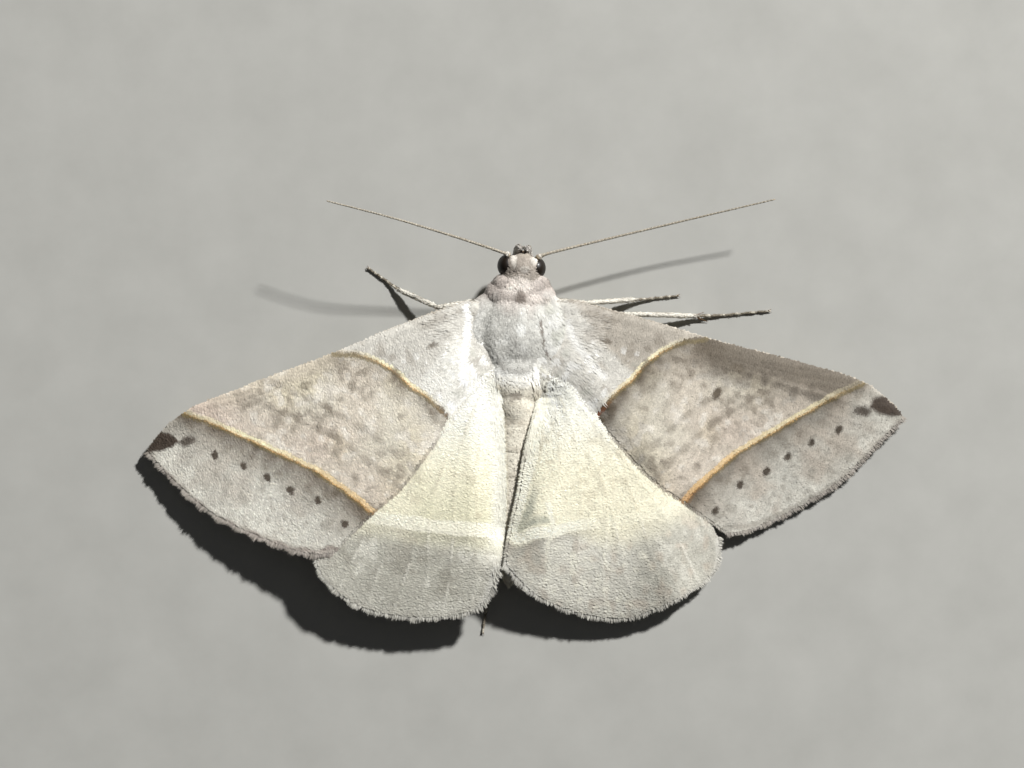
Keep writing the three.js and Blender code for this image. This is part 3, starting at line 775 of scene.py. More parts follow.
def hindColour(wing, flat):
    look, count, sign = hindLook, len(flat), wing["side"]["sign"]
    left = wing["sideName"] == "left"
    x, y = flat[:, 0] * sign, flat[:, 1]
    line, share = fromLine(flat, np.array(hindLines[wing["sideName"]]))
    wander = 0.1 * noise(flat, 0.9, 41)
    outer = line * -sign + wander  # above zero towards the outer margin
    margin = -fromLine(flat, wingEdge(wing, "outer"))[0]
    rear = nearest(flat, wing["rearLine"])[1]
    fine, lumps, dust = noise(flat, 0.34, 12), noise(flat, 1.3, 13), noise(flat, 0.16, 14)
    angle, reach = np.arctan2(x - 1.0, -(y + 0.6)), np.hypot(x - 1, y + 0.6)  # about the wing's root
    streak = noise(np.column_stack([angle * 9, reach * 0.35]), 0.6, 15)
    # cream towards the hinge, sandier near the line
    colour = Paint(look, "base", count).over("middle", ramp(-y, 3.0, 7.5))
    sandy = ramp(outer, -4.0, -0.6) * (0.25 * ramp(x, 1.5, 3) if not left else 1 - 0.7 * ramp(x, 4.4, 5.8))
    colour.over("olive" if left else "sand", sandy * (0.75 + 0.35 * lumps))
    specks = ramp(fine + 0.5 * lumps + 0.3 * dust, 0.2, 1.1) * (0.6 + 0.4 * ramp(2.2 - rear, 0, 1))
    colour.over("fleck", 0.55 * specks * ramp(-y, 3, 6))
    # greyer towards the outer margin, streaked along the veins
    grey = Paint(look, "outer", count).over("outerDark", 0.8 * ramp(lumps + fine, -0.1, 1.0))
    pale = 0.85 * ramp(streak + 0.8 * fine, 0.1, 1.1) + 0.45 * ramp(2.0 - margin, 0, 1.8)
    pale = pale + (0.12 if left else
                   0.5 + 0.7 * ramp(x, 1.0, 3.5) * ramp(6.8 - x, 0, 1.6) - 0.3 * ramp(x, 6, 7.5))
    grey.over("outerPale", np.clip(pale, 0, 0.9))
    if not left:
        # painted light: the outer grey lighter nearer the body and darker further out, for how the wing faces
        # the lamp
        grey.colour *= (1.14 - 0.22 * ramp(x, 4.2, 6.5))[:, None]
        grey.over("outerDark", 0.6 * ramp(1.5 - x, 0, 0.5) * ramp(y, -13.0, -11.8))
        blotches = noise(flat / (0.8, 1.2), 0.5, 47) + 0.4 * fine
        grey.over("warm", 0.4 * ramp(blotches, 0.0, 0.9))
        grey.over("line", 0.35 * ramp(-blotches, 0.3, 0.9) * ramp(6.5 - x, 0, 3))
    start = 0.1 if left else 0.1 - 0.6 * ramp(x, 5, 9)
    soft = 1.4 if left else 0.4 + 1.6 * ramp(x, 2.2, 5)
    colour.over(grey, 0.92 * ramp((outer - start) / soft, 0, 1))
    # the pale line, dark outside, fading towards the front
    faded = 0.85 * (1 - 0.75 * ramp(x, 6.5, 9.5)) if left else 1 - 0.85 * ramp(x, 2.0, 5.0)
    colour.over("outerDark", 0.4 * band(outer - 0.45, 0.4, 0.3) * faded)
    wide = (0.42 if left else 0.36) + 0.06 * noise(flat, 0.7, 43)
    bright = 0.85 if left else 0.8 + 0.2 * ramp(share, 0.1, 0.3)
    colour.over("line", bright * band(outer - wander, wide, 0.12) * faded)
    veins = np.min([nearest(flat, vein)[1] for vein in wing["veins"]], axis=0)
    broken = ramp(noise(flat / (0.8, 1.4), 0.9, 16), -0.15, 0.6)
    colour.over("vein", 0.4 * broken * band(veins, 0.1, 0.08) * ramp(outer, -0.3, 0.4))
    colour.over("fleck", 0.3 * broken * band(veins, 0.1, 0.08) * ramp(-outer, 0, 0.5))
    if left:
        colour.over("inner", 0.75 * band(rear, 0.9, 0.5) * ramp(1.2 - outer, 0, 1))
    else:  # grey-green between the pale line and the first vein, and a white vein that crosses the line
        hollow = ramp(-outer, 0.3, 0.5) * ramp(1.05 + outer, 0, 0.5)
        hollow = hollow * ramp(-y, 7.2, 9.2) * ramp(2.2 - x, 0, 0.9)
        colour.over("hollow", (0.75 + 0.2 * fine) * hollow)
        vein = [(1.55, -8.9), (1.8, -9.9), (1.8, -10.5), (1.52, -10.95), (1.5, -12.2), (1.6, -14.2)]
        colour.over("line", 0.9 * band(nearest(flat, vein)[1], 0.17, 0.1) * ramp(14 + y, 0, 4.5))
        flecks = noise(np.column_stack([angle * 20, reach]), 0.42, 18) + 0.5 * fine
        flecks = 0.6 * ramp(flecks, 0.3, 0.9) * ramp(outer, 0.3, 0.9) * ramp(x, 1, 3) * ramp(9 - x, 0, 4)
        colour.over("line", flecks)
    colour.over("edge", 0.4 * band(margin - 0.5, 0.2, 0.14))
    return colour.over("fringe", 0.7 * ramp(0.4 - margin, 0, 0.16)).colour


for wing in wings.values():
    wing["colour"] = foreColour if wing["kind"] == "forewing" else hindColour
    wing["look"] = foreLook if wing["kind"] == "forewing" else hindLook

bodyLook = {
    "thorax": "#cbc9c1", "thoraxDark": "#95918a", "thoraxPale": "#f4f3ed", "collar": "#c3b9b0",
    "collarPale": "#fff5ea", "head": "#9d9489", "headDark": "#6b6056", "headPale": "#ded8cd",
    "frons": "#a39a8d", "palp": "#dad5cd", "palpTip": "#d0cbc4", "abdomen": "#ebe4d2",
    "abdomenDark": "#a99d89", "cream": "#fdf9ee", "sage": "#bdbdb0", "leg": "#e6e1d4", "legDark": "#6e6455",
    "foot": "#8d8474", "footPale": "#cfc8b8", "underneath": "#d9d2c3", "tuft": "#fbf9f2",
}
headParts = ("skull", "frons", "brow_right", "brow_left")


def spot(points, centre, radii, softness=0.5):
    return ramp(1 + softness / 2 - spotAway(points, centre, radii), 0, softness)


def bodyColour(points, parts):
    look, count = bodyLook, len(points)
    fine, lumps, patchy = noise(points, 0.22, 21), noise(points, 0.8, 22), noise(points, 0.42, 24)
    local = moved(bodyPlace.inverted(), points)
    x, y = local[:, 0], local[:, 1]
    colour = Paint(look, "thorax", count).over("thoraxDark", 0.35 * ramp(fine + 0.9 * patchy, 0.1, 1.4))
    colour.over("thoraxPale", 0.45 * ramp(0.6 * lumps - 0.8 * patchy - 0.3 * fine, 0.1, 1.0))
    flank = ramp(np.abs(x), 1.5, 2.1) * ramp(1.7 - y, 0, 0.8) * ramp(patchy, -0.7, 0.3)
    colour.over("thoraxPale", 0.35 * flank)
    colour.over("sage", 0.6 * ramp(x, 1.2, 1.5) * ramp(patchy, -0.6, 0.4))
    # painted shade: a dark line along the crease inside the right tegula, where shadow falls
    line = nearest(points[:, :2], [(1.12, 0.5), (1.18, 0.1), (1.35, -0.7), (1.72, -1.9), (1.95, -2.35)])[1]
    colour.over("headDark", 0.8 * band(line, 0.13, 0.09) * ramp(fine, -1, 0.2))
    colour.over("thoraxDark", 0.08 * spot(points, (-0.05, -1.3), (0.75, 0.8), 0.9))
    crescent = nearest(points[:, :2], [(-1.05, -1.55), (-0.6, -1.95), (0.0, -2.1), (0.5, -1.98),
                                       (0.9, -1.6)])[1]
    colour.over("thoraxDark", 0.5 * band(crescent, 0.22, 0.2))
    colour.over("thoraxDark", 0.6 * spot(points, (-2.1, -1.1), (0.35, 0.5), 0.8))
    colour.over("thoraxPale", 0.8 * ramp(-y + 0.2 * lumps, 2.0, 2.4))
    # collar
    hood = Paint(look, "collar", count).over("headDark", 0.22 * ramp(fine + 0.5 * patchy, 0, 1.0))
    hood.over("headDark", 0.1 * ramp(np.abs(x - 0.05), 0.6, 1.2))
    colour.over(hood, ramp(y + 0.25 * patchy - 0.5 * ramp(np.abs(x), 0.5, 1.5), 0.5, 1.7))
    above = ramp(local[:, 2], 2.6, 2.9)
    for name, depth, place, size, softness in (
        ("collarPale", 0.85, (-0.02, 2.2), (0.72, 0.3), 0.7), ("collarPale", 0.5, (-0.64, 1.47), (0.32, 0.2),
                                                               0.9),
        ("collarPale", 0.5, (0.85, 1.66), (0.4, 0.2), 0.9), ("headDark", 0.75, (0.14, 1.72), (0.25, 0.38),
                                                             0.7),
        ("thoraxPale", 0.95, (0.16, 0.05), (0.24, 0.32), 0.8),
    ):
        colour.over(name, depth * spot(points, place, size, softness) * above)
    # head
    head = Paint(look, "head", count).over("headDark", 0.4 * ramp(fine + 0.4 * lumps, 0, 1.0))
    head.over("frons", ramp(points[:, 1], 3.6, 3.95))
    for name, depth, place, size, softness in (
        ("headPale", 0.7, (-0.2, 3.6), (0.14, 0.4), 0.8), ("headPale", 0.8, (0.86, 3.6), (0.2, 0.26), 0.8),
        ("headPale", 0.4, (0.35, 3.1), (0.22, 0.16), 0.8), ("collarPale", 0.75, (0.0, 2.42), (0.66, 0.34),
                                                            0.7),
    ):
        head.over(name, depth * spot(points, place, size, softness))
    isHead = np.isin(parts, headParts)
    colour.colour = np.where(isHead[:, None], head.colour, colour.colour)
    # abdomen: tan, with a fine dark band before each segment's end
    start, end = limbs["abdomen"][0][[0, -1]]
    share = (points - start) @ (end - start) / np.sum((end - start) ** 2)
    segment = (share * body["abdomen"]["segments"]) % 1
    belly = Paint(look, "abdomen", count).over("abdomenDark", 0.4 * ramp(fine + 0.4 * lumps, 0, 1.1))
    belly.over("abdomenDark", 0.25 * ramp(segment, 0.72, 0.86) * ramp(1 - segment, 0.0, 0.1))
    belly.over("headDark", 0.65 * spot(points, (-0.12, -3.3), (0.4, 0.2), 0.8))
    behind = -y + 0.15 * patchy
    colour.over("cream", 0.95 * ramp(behind, 2.1, 2.4) * (1 - 0.4 * ramp(fine, 0, 0.8)))
    colour.over(belly, ramp(behind, 2.6, 3.1) * np.isin(parts, ("abdomen", "rump", "waist")))
    colour.over("underneath", 0.8 * ramp(2.2 - points[:, 2], 0, 0.8) * (~isHead))
    # palps and legs
    for name, (line, _) in limbs.items():
        these = parts == name
        if name == "abdomen":
            continue
        share, many = nearest(points[these], line)[2], int(these.sum())
        if "palp" in name:
            limb = Paint(look, "palp", many).over("palpTip", ramp(share, 0.6, 0.9))
        elif "tarsus" in name:
            limb = Paint(look, "foot", many).over("footPale", ramp((share * 5) % 1, 0.6, 0.9))
        else:
            limb = Paint(look, "leg", many).over("legDark", 0.55 * ramp(fine[these], 0.1, 0.9))
            limb.over("legDark", 0.5 * ramp(share, 0.9, 1.0))
        colour.colour[these] = limb.colour
    return colour.colour


# Closing the skin: the wing membranes join the flesh

fleshPoints = np.array([v.co for v in bm.verts])
skinColours = [bodyColour(fleshPoints, partOf(fleshPoints))]
wingBox = {"s": (0.03, 0.972), "t": {"forewing": (0.02, 0.975), "hindwing": (0.02, 0.97)}}
for wing in wings.values():
    grid = bmesh.new()
    bmesh.ops.create_grid(grid, x_segments=membrane["along"], y_segments=membrane["across"], size=0.5)
    spots = np.array([v.co for v in grid.verts])[:, :2] + 0.5
    low, high = wingBox["t"][wing["kind"]]
    s = wingBox["s"][0] + (wingBox["s"][1] - wingBox["s"][0]) * spots[:, 0]
    flat = wingPatch(wing["edges"], s, low + (high - low) * spots[:, 1])
    for vert, place in zip(grid.verts, onWing(wing, flat)):
        vert.co = place
    bmesh.ops.recalc_face_normals(grid, faces=grid.faces)
    if sum(f.normal.z for f in grid.faces) < 0:
        bmesh.ops.reverse_faces(grid, faces=grid.faces)
    bmesh.ops.solidify(grid, geom=grid.faces[:], thickness=membrane["thickness"])
    sheet = toMesh("sheet", grid)
    bm.from_mesh(sheet)
    skinColours.append(np.vstack([wing["colour"](wing, flat)] * 2))
    bpy.data.meshes.remove(sheet)

skinMesh = settle(toMesh("skin", bm))
cuticleShare = 0.72  # the bare skin is this much darker than its scales
setPoints(skinMesh, "markings", "FLOAT_COLOR", np.vstack(skinColours) * cuticleShare)
print("skin closed:", len(skinMesh.polygons), "faces,", len(skinMesh.vertices), "vertices")


# Coats: closed scales of six triangles, each rooted on the skin and lying along it

scaleShape = {  # root, two sides, tip and belly
    "across": np.array([0, -0.5, 0.5, 0, 0]),
    "along": np.array([0, 0, 0, 1, 0.42]),
    "bellyRise": 0.7,
    "faces": np.array([(0, 2, 1), (1, 2, 3), (0, 1, 4), (1, 3, 4), (3, 2, 4), (2, 0, 4)]),
    # painted shade: each scale darker at its root and belly, where it lies under its neighbours and against
    # the skin, and lighter at its tip
    "tone": np.array([0.85, 0.98, 0.98, 1.05, 0.85]),
    "rootDepth": 0.012, "widthVary": 0.2, "toneRange": (0.6, 1.35), "patch": 0.003,
}


def gathered(roots, tips, look, count):
    # tips lean together in locks: how far each is pulled, and the leader of its lock
    leaders = rng.choice(count, max(1, count // look["lock"]), replace=False)
    nearestLeader = np.empty(count, int)
    batch = 2000
    for start in range(0, count, batch):
        part = roots[start:start + batch]
        away = ((part[:, None, :] - roots[leaders][None]) ** 2).sum(2)
        nearestLeader[start:start + batch] = leaders[np.argmin(away, axis=1)]
    return (tips[nearestLeader] - tips) * look["clump"], nearestLeader


def growCoat(name, roots, normals, lie, look, colours, unwrap, material, scale=1.0):
    # one joined mesh: look says how long, wide, raised and clumped the scales are
    shape, count = scaleShape, len(roots)
    lie = unit(lie - np.sum(lie * normals, axis=1)[:, None] * normals)
    beside = np.cross(lie, normals)
    turn = np.radians(look["stray"]) * rng.normal(size=count)[:, None]
    lie, beside = lie * np.cos(turn) + beside * np.sin(turn), beside * np.cos(turn) - lie * np.sin(turn)
    length = look["length"] * scale * (1 + look["vary"] * rng.uniform(-1, 1, count))
    width = look["width"] * np.sqrt(scale) * (1 + shape["widthVary"] * rng.uniform(-1, 1, count))
    raised = np.radians(look["raise"] + look["raiseVary"] * rng.normal(size=count))
    onward, upward = lie * (np.cos(raised) * length)[:, None], normals * (np.sin(raised) * length)[:, None]
    pull = np.zeros_like(roots)
    tone = 1 + look["tone"] * rng.normal(size=count)
    if look["lock"] > 1:
        pull, leader = gathered(roots, roots + onward + upward, look, count)
        tone = tone * (1 + 0.6 * look["tone"] * rng.normal(size=count)[leader])
    tone = np.clip(tone, *shape["toneRange"])
    across, run = shape["across"], shape["along"].copy()
    run[1:3] = look["widest"]
    rise = run * np.array([0, 1, 1, 1, shape["bellyRise"]])
    rise = rise + np.array([0, look["bow"], look["bow"], -look["droop"], 0])
    places = (
        roots[:, None]
        + onward[:, None] * run[None, :, None]
        + upward[:, None] * rise[None, :, None]
        + (beside * width[:, None])[:, None] * across[None, :, None]
        + pull[:, None] * (run ** 2)[None, :, None]
    )
    places[:, 0] -= normals * shape["rootDepth"]
    places[:, 4] -= normals * look["thick"]
    mesh = bpy.data.meshes.new(name)
    faces = (shape["faces"][None] + 5 * np.arange(count)[:, None, None]).reshape(-1, 3)
    mesh.vertices.add(count * 5)
    mesh.vertices.foreach_set("co", places.astype(np.float32).ravel())
    mesh.loops.add(faces.size)
    mesh.loops.foreach_set("vertex_index", faces.astype(np.int32).ravel())
    mesh.polygons.add(len(faces))
    mesh.polygons.foreach_set("loop_start", np.arange(0, faces.size, 3, dtype=np.int32))
    mesh.polygons.foreach_set("use_smooth", np.zeros(len(faces), bool))
    mesh.update(calc_edges=True)
    settle(mesh)
    paint = np.clip(colours[:, None, :] * tone[:, None, None] * shape["tone"][None, :, None], 0, 1)
    setPoints(mesh, "markings", "FLOAT_COLOR", paint.reshape(-1, 3))
    grain = np.empty((count, 5, 3))
    grain[:, :, 0] = across
    grain[:, :, 1] = run
    grain[:, :, 2] = rng.uniform(0, 1, count)[:, None]
    setPoints(mesh, "grain", "FLOAT_VECTOR", grain.reshape(-1, 3))
    # each scale is a small patch at its root's place on the unwrap
    spread = unwrap.max(0) - unwrap.min(0)
    middle = 0.004 + 0.992 * (unwrap - unwrap.min(0)) / np.maximum(spread, 1e-9)
    corner = np.column_stack([across, run - 0.5]) * shape["patch"]
    spots = (middle[:, None, :] + corner[None]).reshape(-1, 2)
    layer = mesh.uv_layers.new(name="OFBake")
    layer.data.foreach_set("uv", spots[faces.ravel()].astype(np.float32).ravel())
    return addPiece(name, mesh, material)


def objectNoise(tree, size, settings=None, kind="Noise"):
    # a pattern in the piece's own space, in lumps about size millimetres across
    where = addNode(tree, "ShaderNodeTexCoord")
    return addNode(tree, "ShaderNodeTex" + kind, {"Scale": 1 / (size * mm), **(settings or {})},
                   {"Vector": where.outputs["Object"]})


def bumpFrom(tree, height, strength, distance, invert=False):
    return addNode(tree, "ShaderNodeBump", {"Strength": strength, "Distance": distance * mm,
                                            "invert": invert},
                   {"Height": height})


def markedColour(tree, blotch, levels):
    # the painted markings, lighter and darker in blotches
    markings = addNode(tree, "ShaderNodeAttribute", {"attribute_name": "markings"})
    level = addNode(tree, "ShaderNodeMapRange", levels, {"Value": blotch.outputs["Fac"]})
    return addNode(tree, "ShaderNodeVectorMath", {"operation": "SCALE"},
                   {0: markings.outputs["Color"], "Scale": level.outputs["Result"]})


def blotchedMaterial(name, look, surface):
    # one material in two tones, blended in soft blotches
    material, tree = startMaterial(name)
    blotch = objectNoise(tree, look["blotch"], look.get("noise"))
    dark, pale = ((*linear(look[tone]), 1) for tone in ("dark", "pale"))
    shade = addNode(tree, "ShaderNodeMix", {"data_type": "RGBA", 6: dark, 7: pale},
                    {0: blotch.outputs["Fac"]})
    links = {"Base Color": shade.outputs[2]}
    if "bump" in look:
        links["Normal"] = bumpFrom(tree, blotch.outputs["Fac"], *look["bump"]).outputs["Normal"]
    if "lens" in look:  # the rims between small lenses
        lens = objectNoise(tree, look["lens"], kind="Voronoi")
        links["Normal"] = bumpFrom(tree, lens.outputs["Distance"], *look["rim"], True).outputs["Normal"]
    return finishMaterial(material, tree, addNode(tree, "ShaderNodeBsdfPrincipled", surface, links))


def coatMaterial(name, look):
    # scales of chitin: dry and matt, finely ribbed along their length, with a faint sheen at a low angle
    material, tree = startMaterial(name)
    dust = objectNoise(tree, look["dust"], {"Detail": 3.0})
    colour = markedColour(tree, dust, {"From Min": 0.3, "From Max": 0.7, "To Min": 1 - look["uneven"],
                                       "To Max": 1 + look["uneven"]})
    grain = addNode(tree, "ShaderNodeAttribute", {"attribute_name": "grain"})
    ribs = addNode(tree, "ShaderNodeTexWave", {"bands_direction": "X", "Scale": look["ribs"],
                                               "Distortion": 0.4},
                   {"Vector": grain.outputs["Vector"]})
    bump = bumpFrom(tree, ribs.outputs["Fac"], 0.35, 0.004)
    return finishMaterial(material, tree, addNode(tree, "ShaderNodeBsdfPrincipled", {
        "Roughness": look["roughness"], "Specular IOR Level": 0.25, "Sheen Weight": look["sheen"],
        "Sheen Roughness": 0.4, "IOR": chitinIor,
    }, {"Base Color": colour.outputs["Vector"], "Normal": bump.outputs["Normal"]}))


chitinIor = 1.56
foreCoat, hindCoat, hairCoat, legCoat = (
    coatMaterial(name, {"dust": dust, "uneven": uneven, "ribs": ribs, "roughness": roughness, "sheen": sheen})
    for name, dust, uneven, ribs, roughness, sheen in (
        ("forewing scales, ribbed chitin", 0.5, 0.09, 1.6, 0.62, 0.12),
        ("hindwing scales, ribbed chitin", 0.6, 0.06, 1.6, 0.6, 0.15),
        ("hair-like body scales", 0.3, 0.1, 0.8, 0.68, 0.2),
        ("leg scales, smooth and close", 0.25, 0.08, 1.2, 0.55, 0.1),
    ))
wingCoats = {"forewing": foreCoat, "hindwing": hindCoat}
# millimetres and degrees; vary, bow, droop, tone and clump are shares, widest is the share along
coatColumns = ("length", "width", "widest", "vary", "stray", "raise", "raiseVary", "bow", "droop", "thick",
               "tone", "lock", "clump")
coats = {
    "wingTop":   (0.21, 0.115, 0.8, 0.15, 6, 7, 1.8, 0.08, 0.12, 0.005, 0.065, 0, 0),
    "wingUnder": (0.3, 0.18, 0.8, 0.15, 6, 6, 2, 0.08, 0.12, 0.006, 0.07, 0, 0),
    "fringe":    (0.46, 0.055, 0.6, 0.22, 7, 0, 5, 0, 0, 0.006, 0.09, 6, 0.12),
    "wingHair":  (0.46, 0.08, 0.55, 0.3, 7, 2.6, 1.2, 0.25, 0.35, 0.008, 0.05, 7, 0.08),
    "thorax":    (0.42, 0.1, 0.6, 0.25, 8, 4, 1.4, 0.2, 0.35, 0.01, 0.07, 8, 0.12),
    "tegula":    (0.46, 0.095, 0.6, 0.25, 7, 4, 1.4, 0.2, 0.4, 0.01, 0.06, 8, 0.12),
    "collar":    (0.38, 0.085, 0.6, 0.25, 7, 7, 2, 0.2, 0.3, 0.01, 0.08, 8, 0.12),
    "head":      (0.24, 0.06, 0.6, 0.25, 8, 9, 2.5, 0.2, 0.3, 0.007, 0.09, 7, 0.15),
    "abdomen":   (0.26, 0.11, 0.75, 0.2, 8, 4, 1.2, 0.12, 0.2, 0.007, 0.045, 6, 0.1),
    "palp":      (0.2, 0.06, 0.65, 0.2, 6, 5, 2, 0.15, 0.3, 0.007, 0.06, 7, 0.12),
    "tail":      (0.62, 0.045, 0.4, 0.3, 5, 3, 3, 0.1, 0.3, 0.008, 0.07, 9, 0.25),
    "leg":       (0.17, 0.06, 0.7, 0.2, 8, 9, 3, 0.12, 0.2, 0.006, 0.09, 0, 0),
    "foot":      (0.1, 0.045, 0.65, 0.2, 8, 8, 3, 0.12, 0.2, 0.004, 0.09, 0, 0),
}
coats = {name: dict(zip(coatColumns, row)) for name, row in coats.items()}


def lattice(outline, spacing, jitter=0.28):
    # an even, slightly irregular spread of places inside an outline
    low, high = outline.min(0) - spacing, outline.max(0) + spacing
    rows = np.arange(low[1], high[1], spacing * 0.87)
    across = np.arange(low[0], high[0], spacing)
    x, y = np.meshgrid(across, rows)
    x = x + (np.arange(len(rows)) % 2)[:, None] * spacing / 2
    places = np.column_stack([x.ravel(), y.ravel()])
    places += rng.uniform(-jitter, jitter, places.shape) * spacing
    return places[inside(places, outline)]


def bodyDepth(places):
    # below 1 inside the thorax
    values = []
    for name in ("thorax", "rump"):
        place, centre, radii = body["lobes"][name]
        values.append(np.linalg.norm((moved(place.inverted(), places) - centre) / radii, axis=1))
    return np.min(values, axis=0)


def strips(share, rows, offset=0):
    # a long narrow margin laid out in rows
    return np.column_stack([(share * rows) % 1, (np.floor(share * rows) + offset) / rows])


def unfold(directions):
    # a rounded shape laid out flat: its directions opened out as the eight sides of an octahedron
    d = directions / np.abs(directions).sum(1)[:, None]
    folded = (1 - np.abs(d[:, 1::-1])) * np.where(d[:, :2] >= 0, 1, -1)
    return np.where(d[:, 2:] >= 0, d[:, :2], folded)


wingCover = {
    "spacing": {"forewing": (0.0715, 0.105), "hindwing": (0.07, 0.105)},  # top, under
    "hiddenBeyond": 0.9, "clearOfBody": 0.93, "underShare": 0.6,
}
fringe = {"outer": 2600, "rear": 2000, "scatter": 0.02, "rearScale": 0.5, "waves": 11, "rows": 12}
for wingName, wing in wings.items():
    kind, side, sideName, look = wing["kind"], wing["side"], wing["sideName"], wing["look"]
    material, slotName = wingCoats[kind], kind + "_scales"
    low, high = wingBox["t"][kind]
    outline = wingOutline(wing["edges"], (*wingBox["s"], low, high))
    other = wings[("hindwing_" if kind == "forewing" else "forewing_") + sideName]
    otherOutline = wingOutline(other["edges"])
    for face, coat, spacing in zip(("top", "under"), ("wingTop", "wingUnder"), wingCover["spacing"][kind]):
        flat = lattice(outline, spacing)
        places, normals, lie = rootedOn(wing, flat, unit(flat - wing["root"]))
        # where the forewing lies over the hindwing, neither facing side needs scales
        otherFlat = toFore(side, places[:, :2]) if kind == "hindwing" else places[:, :2]
        deep = nearest(otherFlat, otherOutline)[1] > wingCover["hiddenBeyond"]
        covered = inside(otherFlat, otherOutline) & deep
        hidden = covered & (face == ("under" if kind == "forewing" else "top"))
        keep = ~hidden & (bodyDepth(places) > wingCover["clearOfBody"])
        flat, places, normals, lie = keepOnly(keep, flat, places, normals, lie)
        colours = wing["colour"](wing, flat)
        if face == "under":
            places = places - normals * membrane["thickness"]
            normals = -normals
            colours = mix(colours, linear(look["under"]), wingCover["underShare"])
        unwrap = flat * (side["sign"], 1) if kind == "hindwing" else flat
        growCoat(f"{wingName}_scales_{face}", places, normals, lie, coats[coat], colours, unwrap, material)
    # fringe: fine scales that stand out past the margin in two layers
    line = wingPatch(wing["edges"], np.full(60, wingBox["s"][1]), np.linspace(low, high, 60))
    rear = wingPatch(wing["edges"], np.linspace(0.12, 0.99, 60), np.full(60, high))
    line, rear = curve(line, fringe["outer"]), curve(rear, fringe["rear"])
    if kind == "hindwing":
        rear = rear[~inside(toFore(side, rear), otherOutline)]
    flat = np.vstack([line, rear])
    onOuter = np.arange(len(flat)) < len(line)
    flat = flat + rng.normal(size=flat.shape) * fringe["scatter"]
    inward = wingPatch(wing["edges"], np.array([0.55]), np.array([0.5]))[0]
    tangents = np.vstack([np.gradient(line, axis=0), np.gradient(rear, axis=0)])
    heading = unit(np.column_stack([tangents[:, 1], -tangents[:, 0]]))
    heading *= np.sign(np.sum(heading * (flat - inward), axis=1))[:, None]
    heading = unit(heading + 0.6 * unit(flat - wing["root"]))
    places, normals, lie = rootedOn(wing, flat, heading)
    layer = rng.integers(0, 2, len(flat))
    places = places - normals * (0.03 * layer + 0.01)[:, None]
    run = np.append(np.linspace(0, len(line) / fringe["outer"], len(line)), np.linspace(0, 1, len(rear)))
    wave = np.cos(run * 2 * np.pi * fringe["waves"])
    scallop = 0.9 + 0.1 * wave + 0.12 * noise(flat, 0.5, 51)
    scale = np.where(onOuter, scallop, fringe["rearScale"]) * np.where(layer == 1, 0.75, 1.0)
    colours = mix(wing["colour"](wing, flat), linear(look["fringe"]), np.where(onOuter, 0.65, 0.1))
    colours = mix(colours, linear(look["edge"]), 0.3 * ramp(wave, 0.35, 0.9) * (layer == 0))
    unwrap = strips(np.linspace(0, 0.999, len(flat)), fringe["rows"], layer * 0.5)
    growCoat(f"{wingName}_fringe", places, normals, lie, coats["fringe"], colours, unwrap, material,
             scale=scale)
print("wings coated")

# Body, head and legs: a scale or hair on each face of the flesh
faceParts = partOf(faceMiddles)
groups = {  # parts, coat, scales to a face, slot
    "thorax_hair": (("thorax", "rump", "waist", "shoulder"), "thorax", 1.25, "body_scales"),
    "tegula_hair": (("tegula_right", "tegula_left"), "tegula", 1.4, "body_scales"),
    "collar_hair": (("collar", "neck"), "collar", 1.6, "body_scales"),
    "head_hair": (headParts, "head", 2.6, "head_scales"),
    "palp_scales_right": (("palp_right",), "palp", 3.0, "head_scales"),
    "palp_scales_left": (("palp_left",), "palp", 3.0, "head_scales"),
    "abdomen_scales": (("abdomen",), "abdomen", 0.72, "abdomen_scales"),
}
for sideName in sides:
    for pair in ("fore", "mid", "hind"):
        leg = f"{pair}leg_{sideName}"
        groups[leg + "_scales"] = ((leg + "_femur", leg + "_tibia"), "leg", 0.8, "leg_scales")
        groups[leg + "_foot_scales"] = ((leg + "_tarsus",), "foot", 1.3, "leg_scales")
unwrapFrom = {  # the middle that each rounded coat is unwrapped about
    "thorax_hair": (0, -0.4, 2.5), "tegula_hair": (0, 0.3, 2.4), "collar_hair": (0.05, 2.15, 2.8),
    "head_hair": (0.2, 3.2, 2.6),
}
eyes = {
    "centre": (0.76, 0.88, 2.72), "radii": (0.5, 0.58, 0.66), "clear": (0.5, 0.56, 0.64), "lensRise": 0.013,
}
eyeMiddles = [moved(headPlace, np.array(eyes["centre"]) * (sign, 1, 1))[0] for sign in (1, -1)]

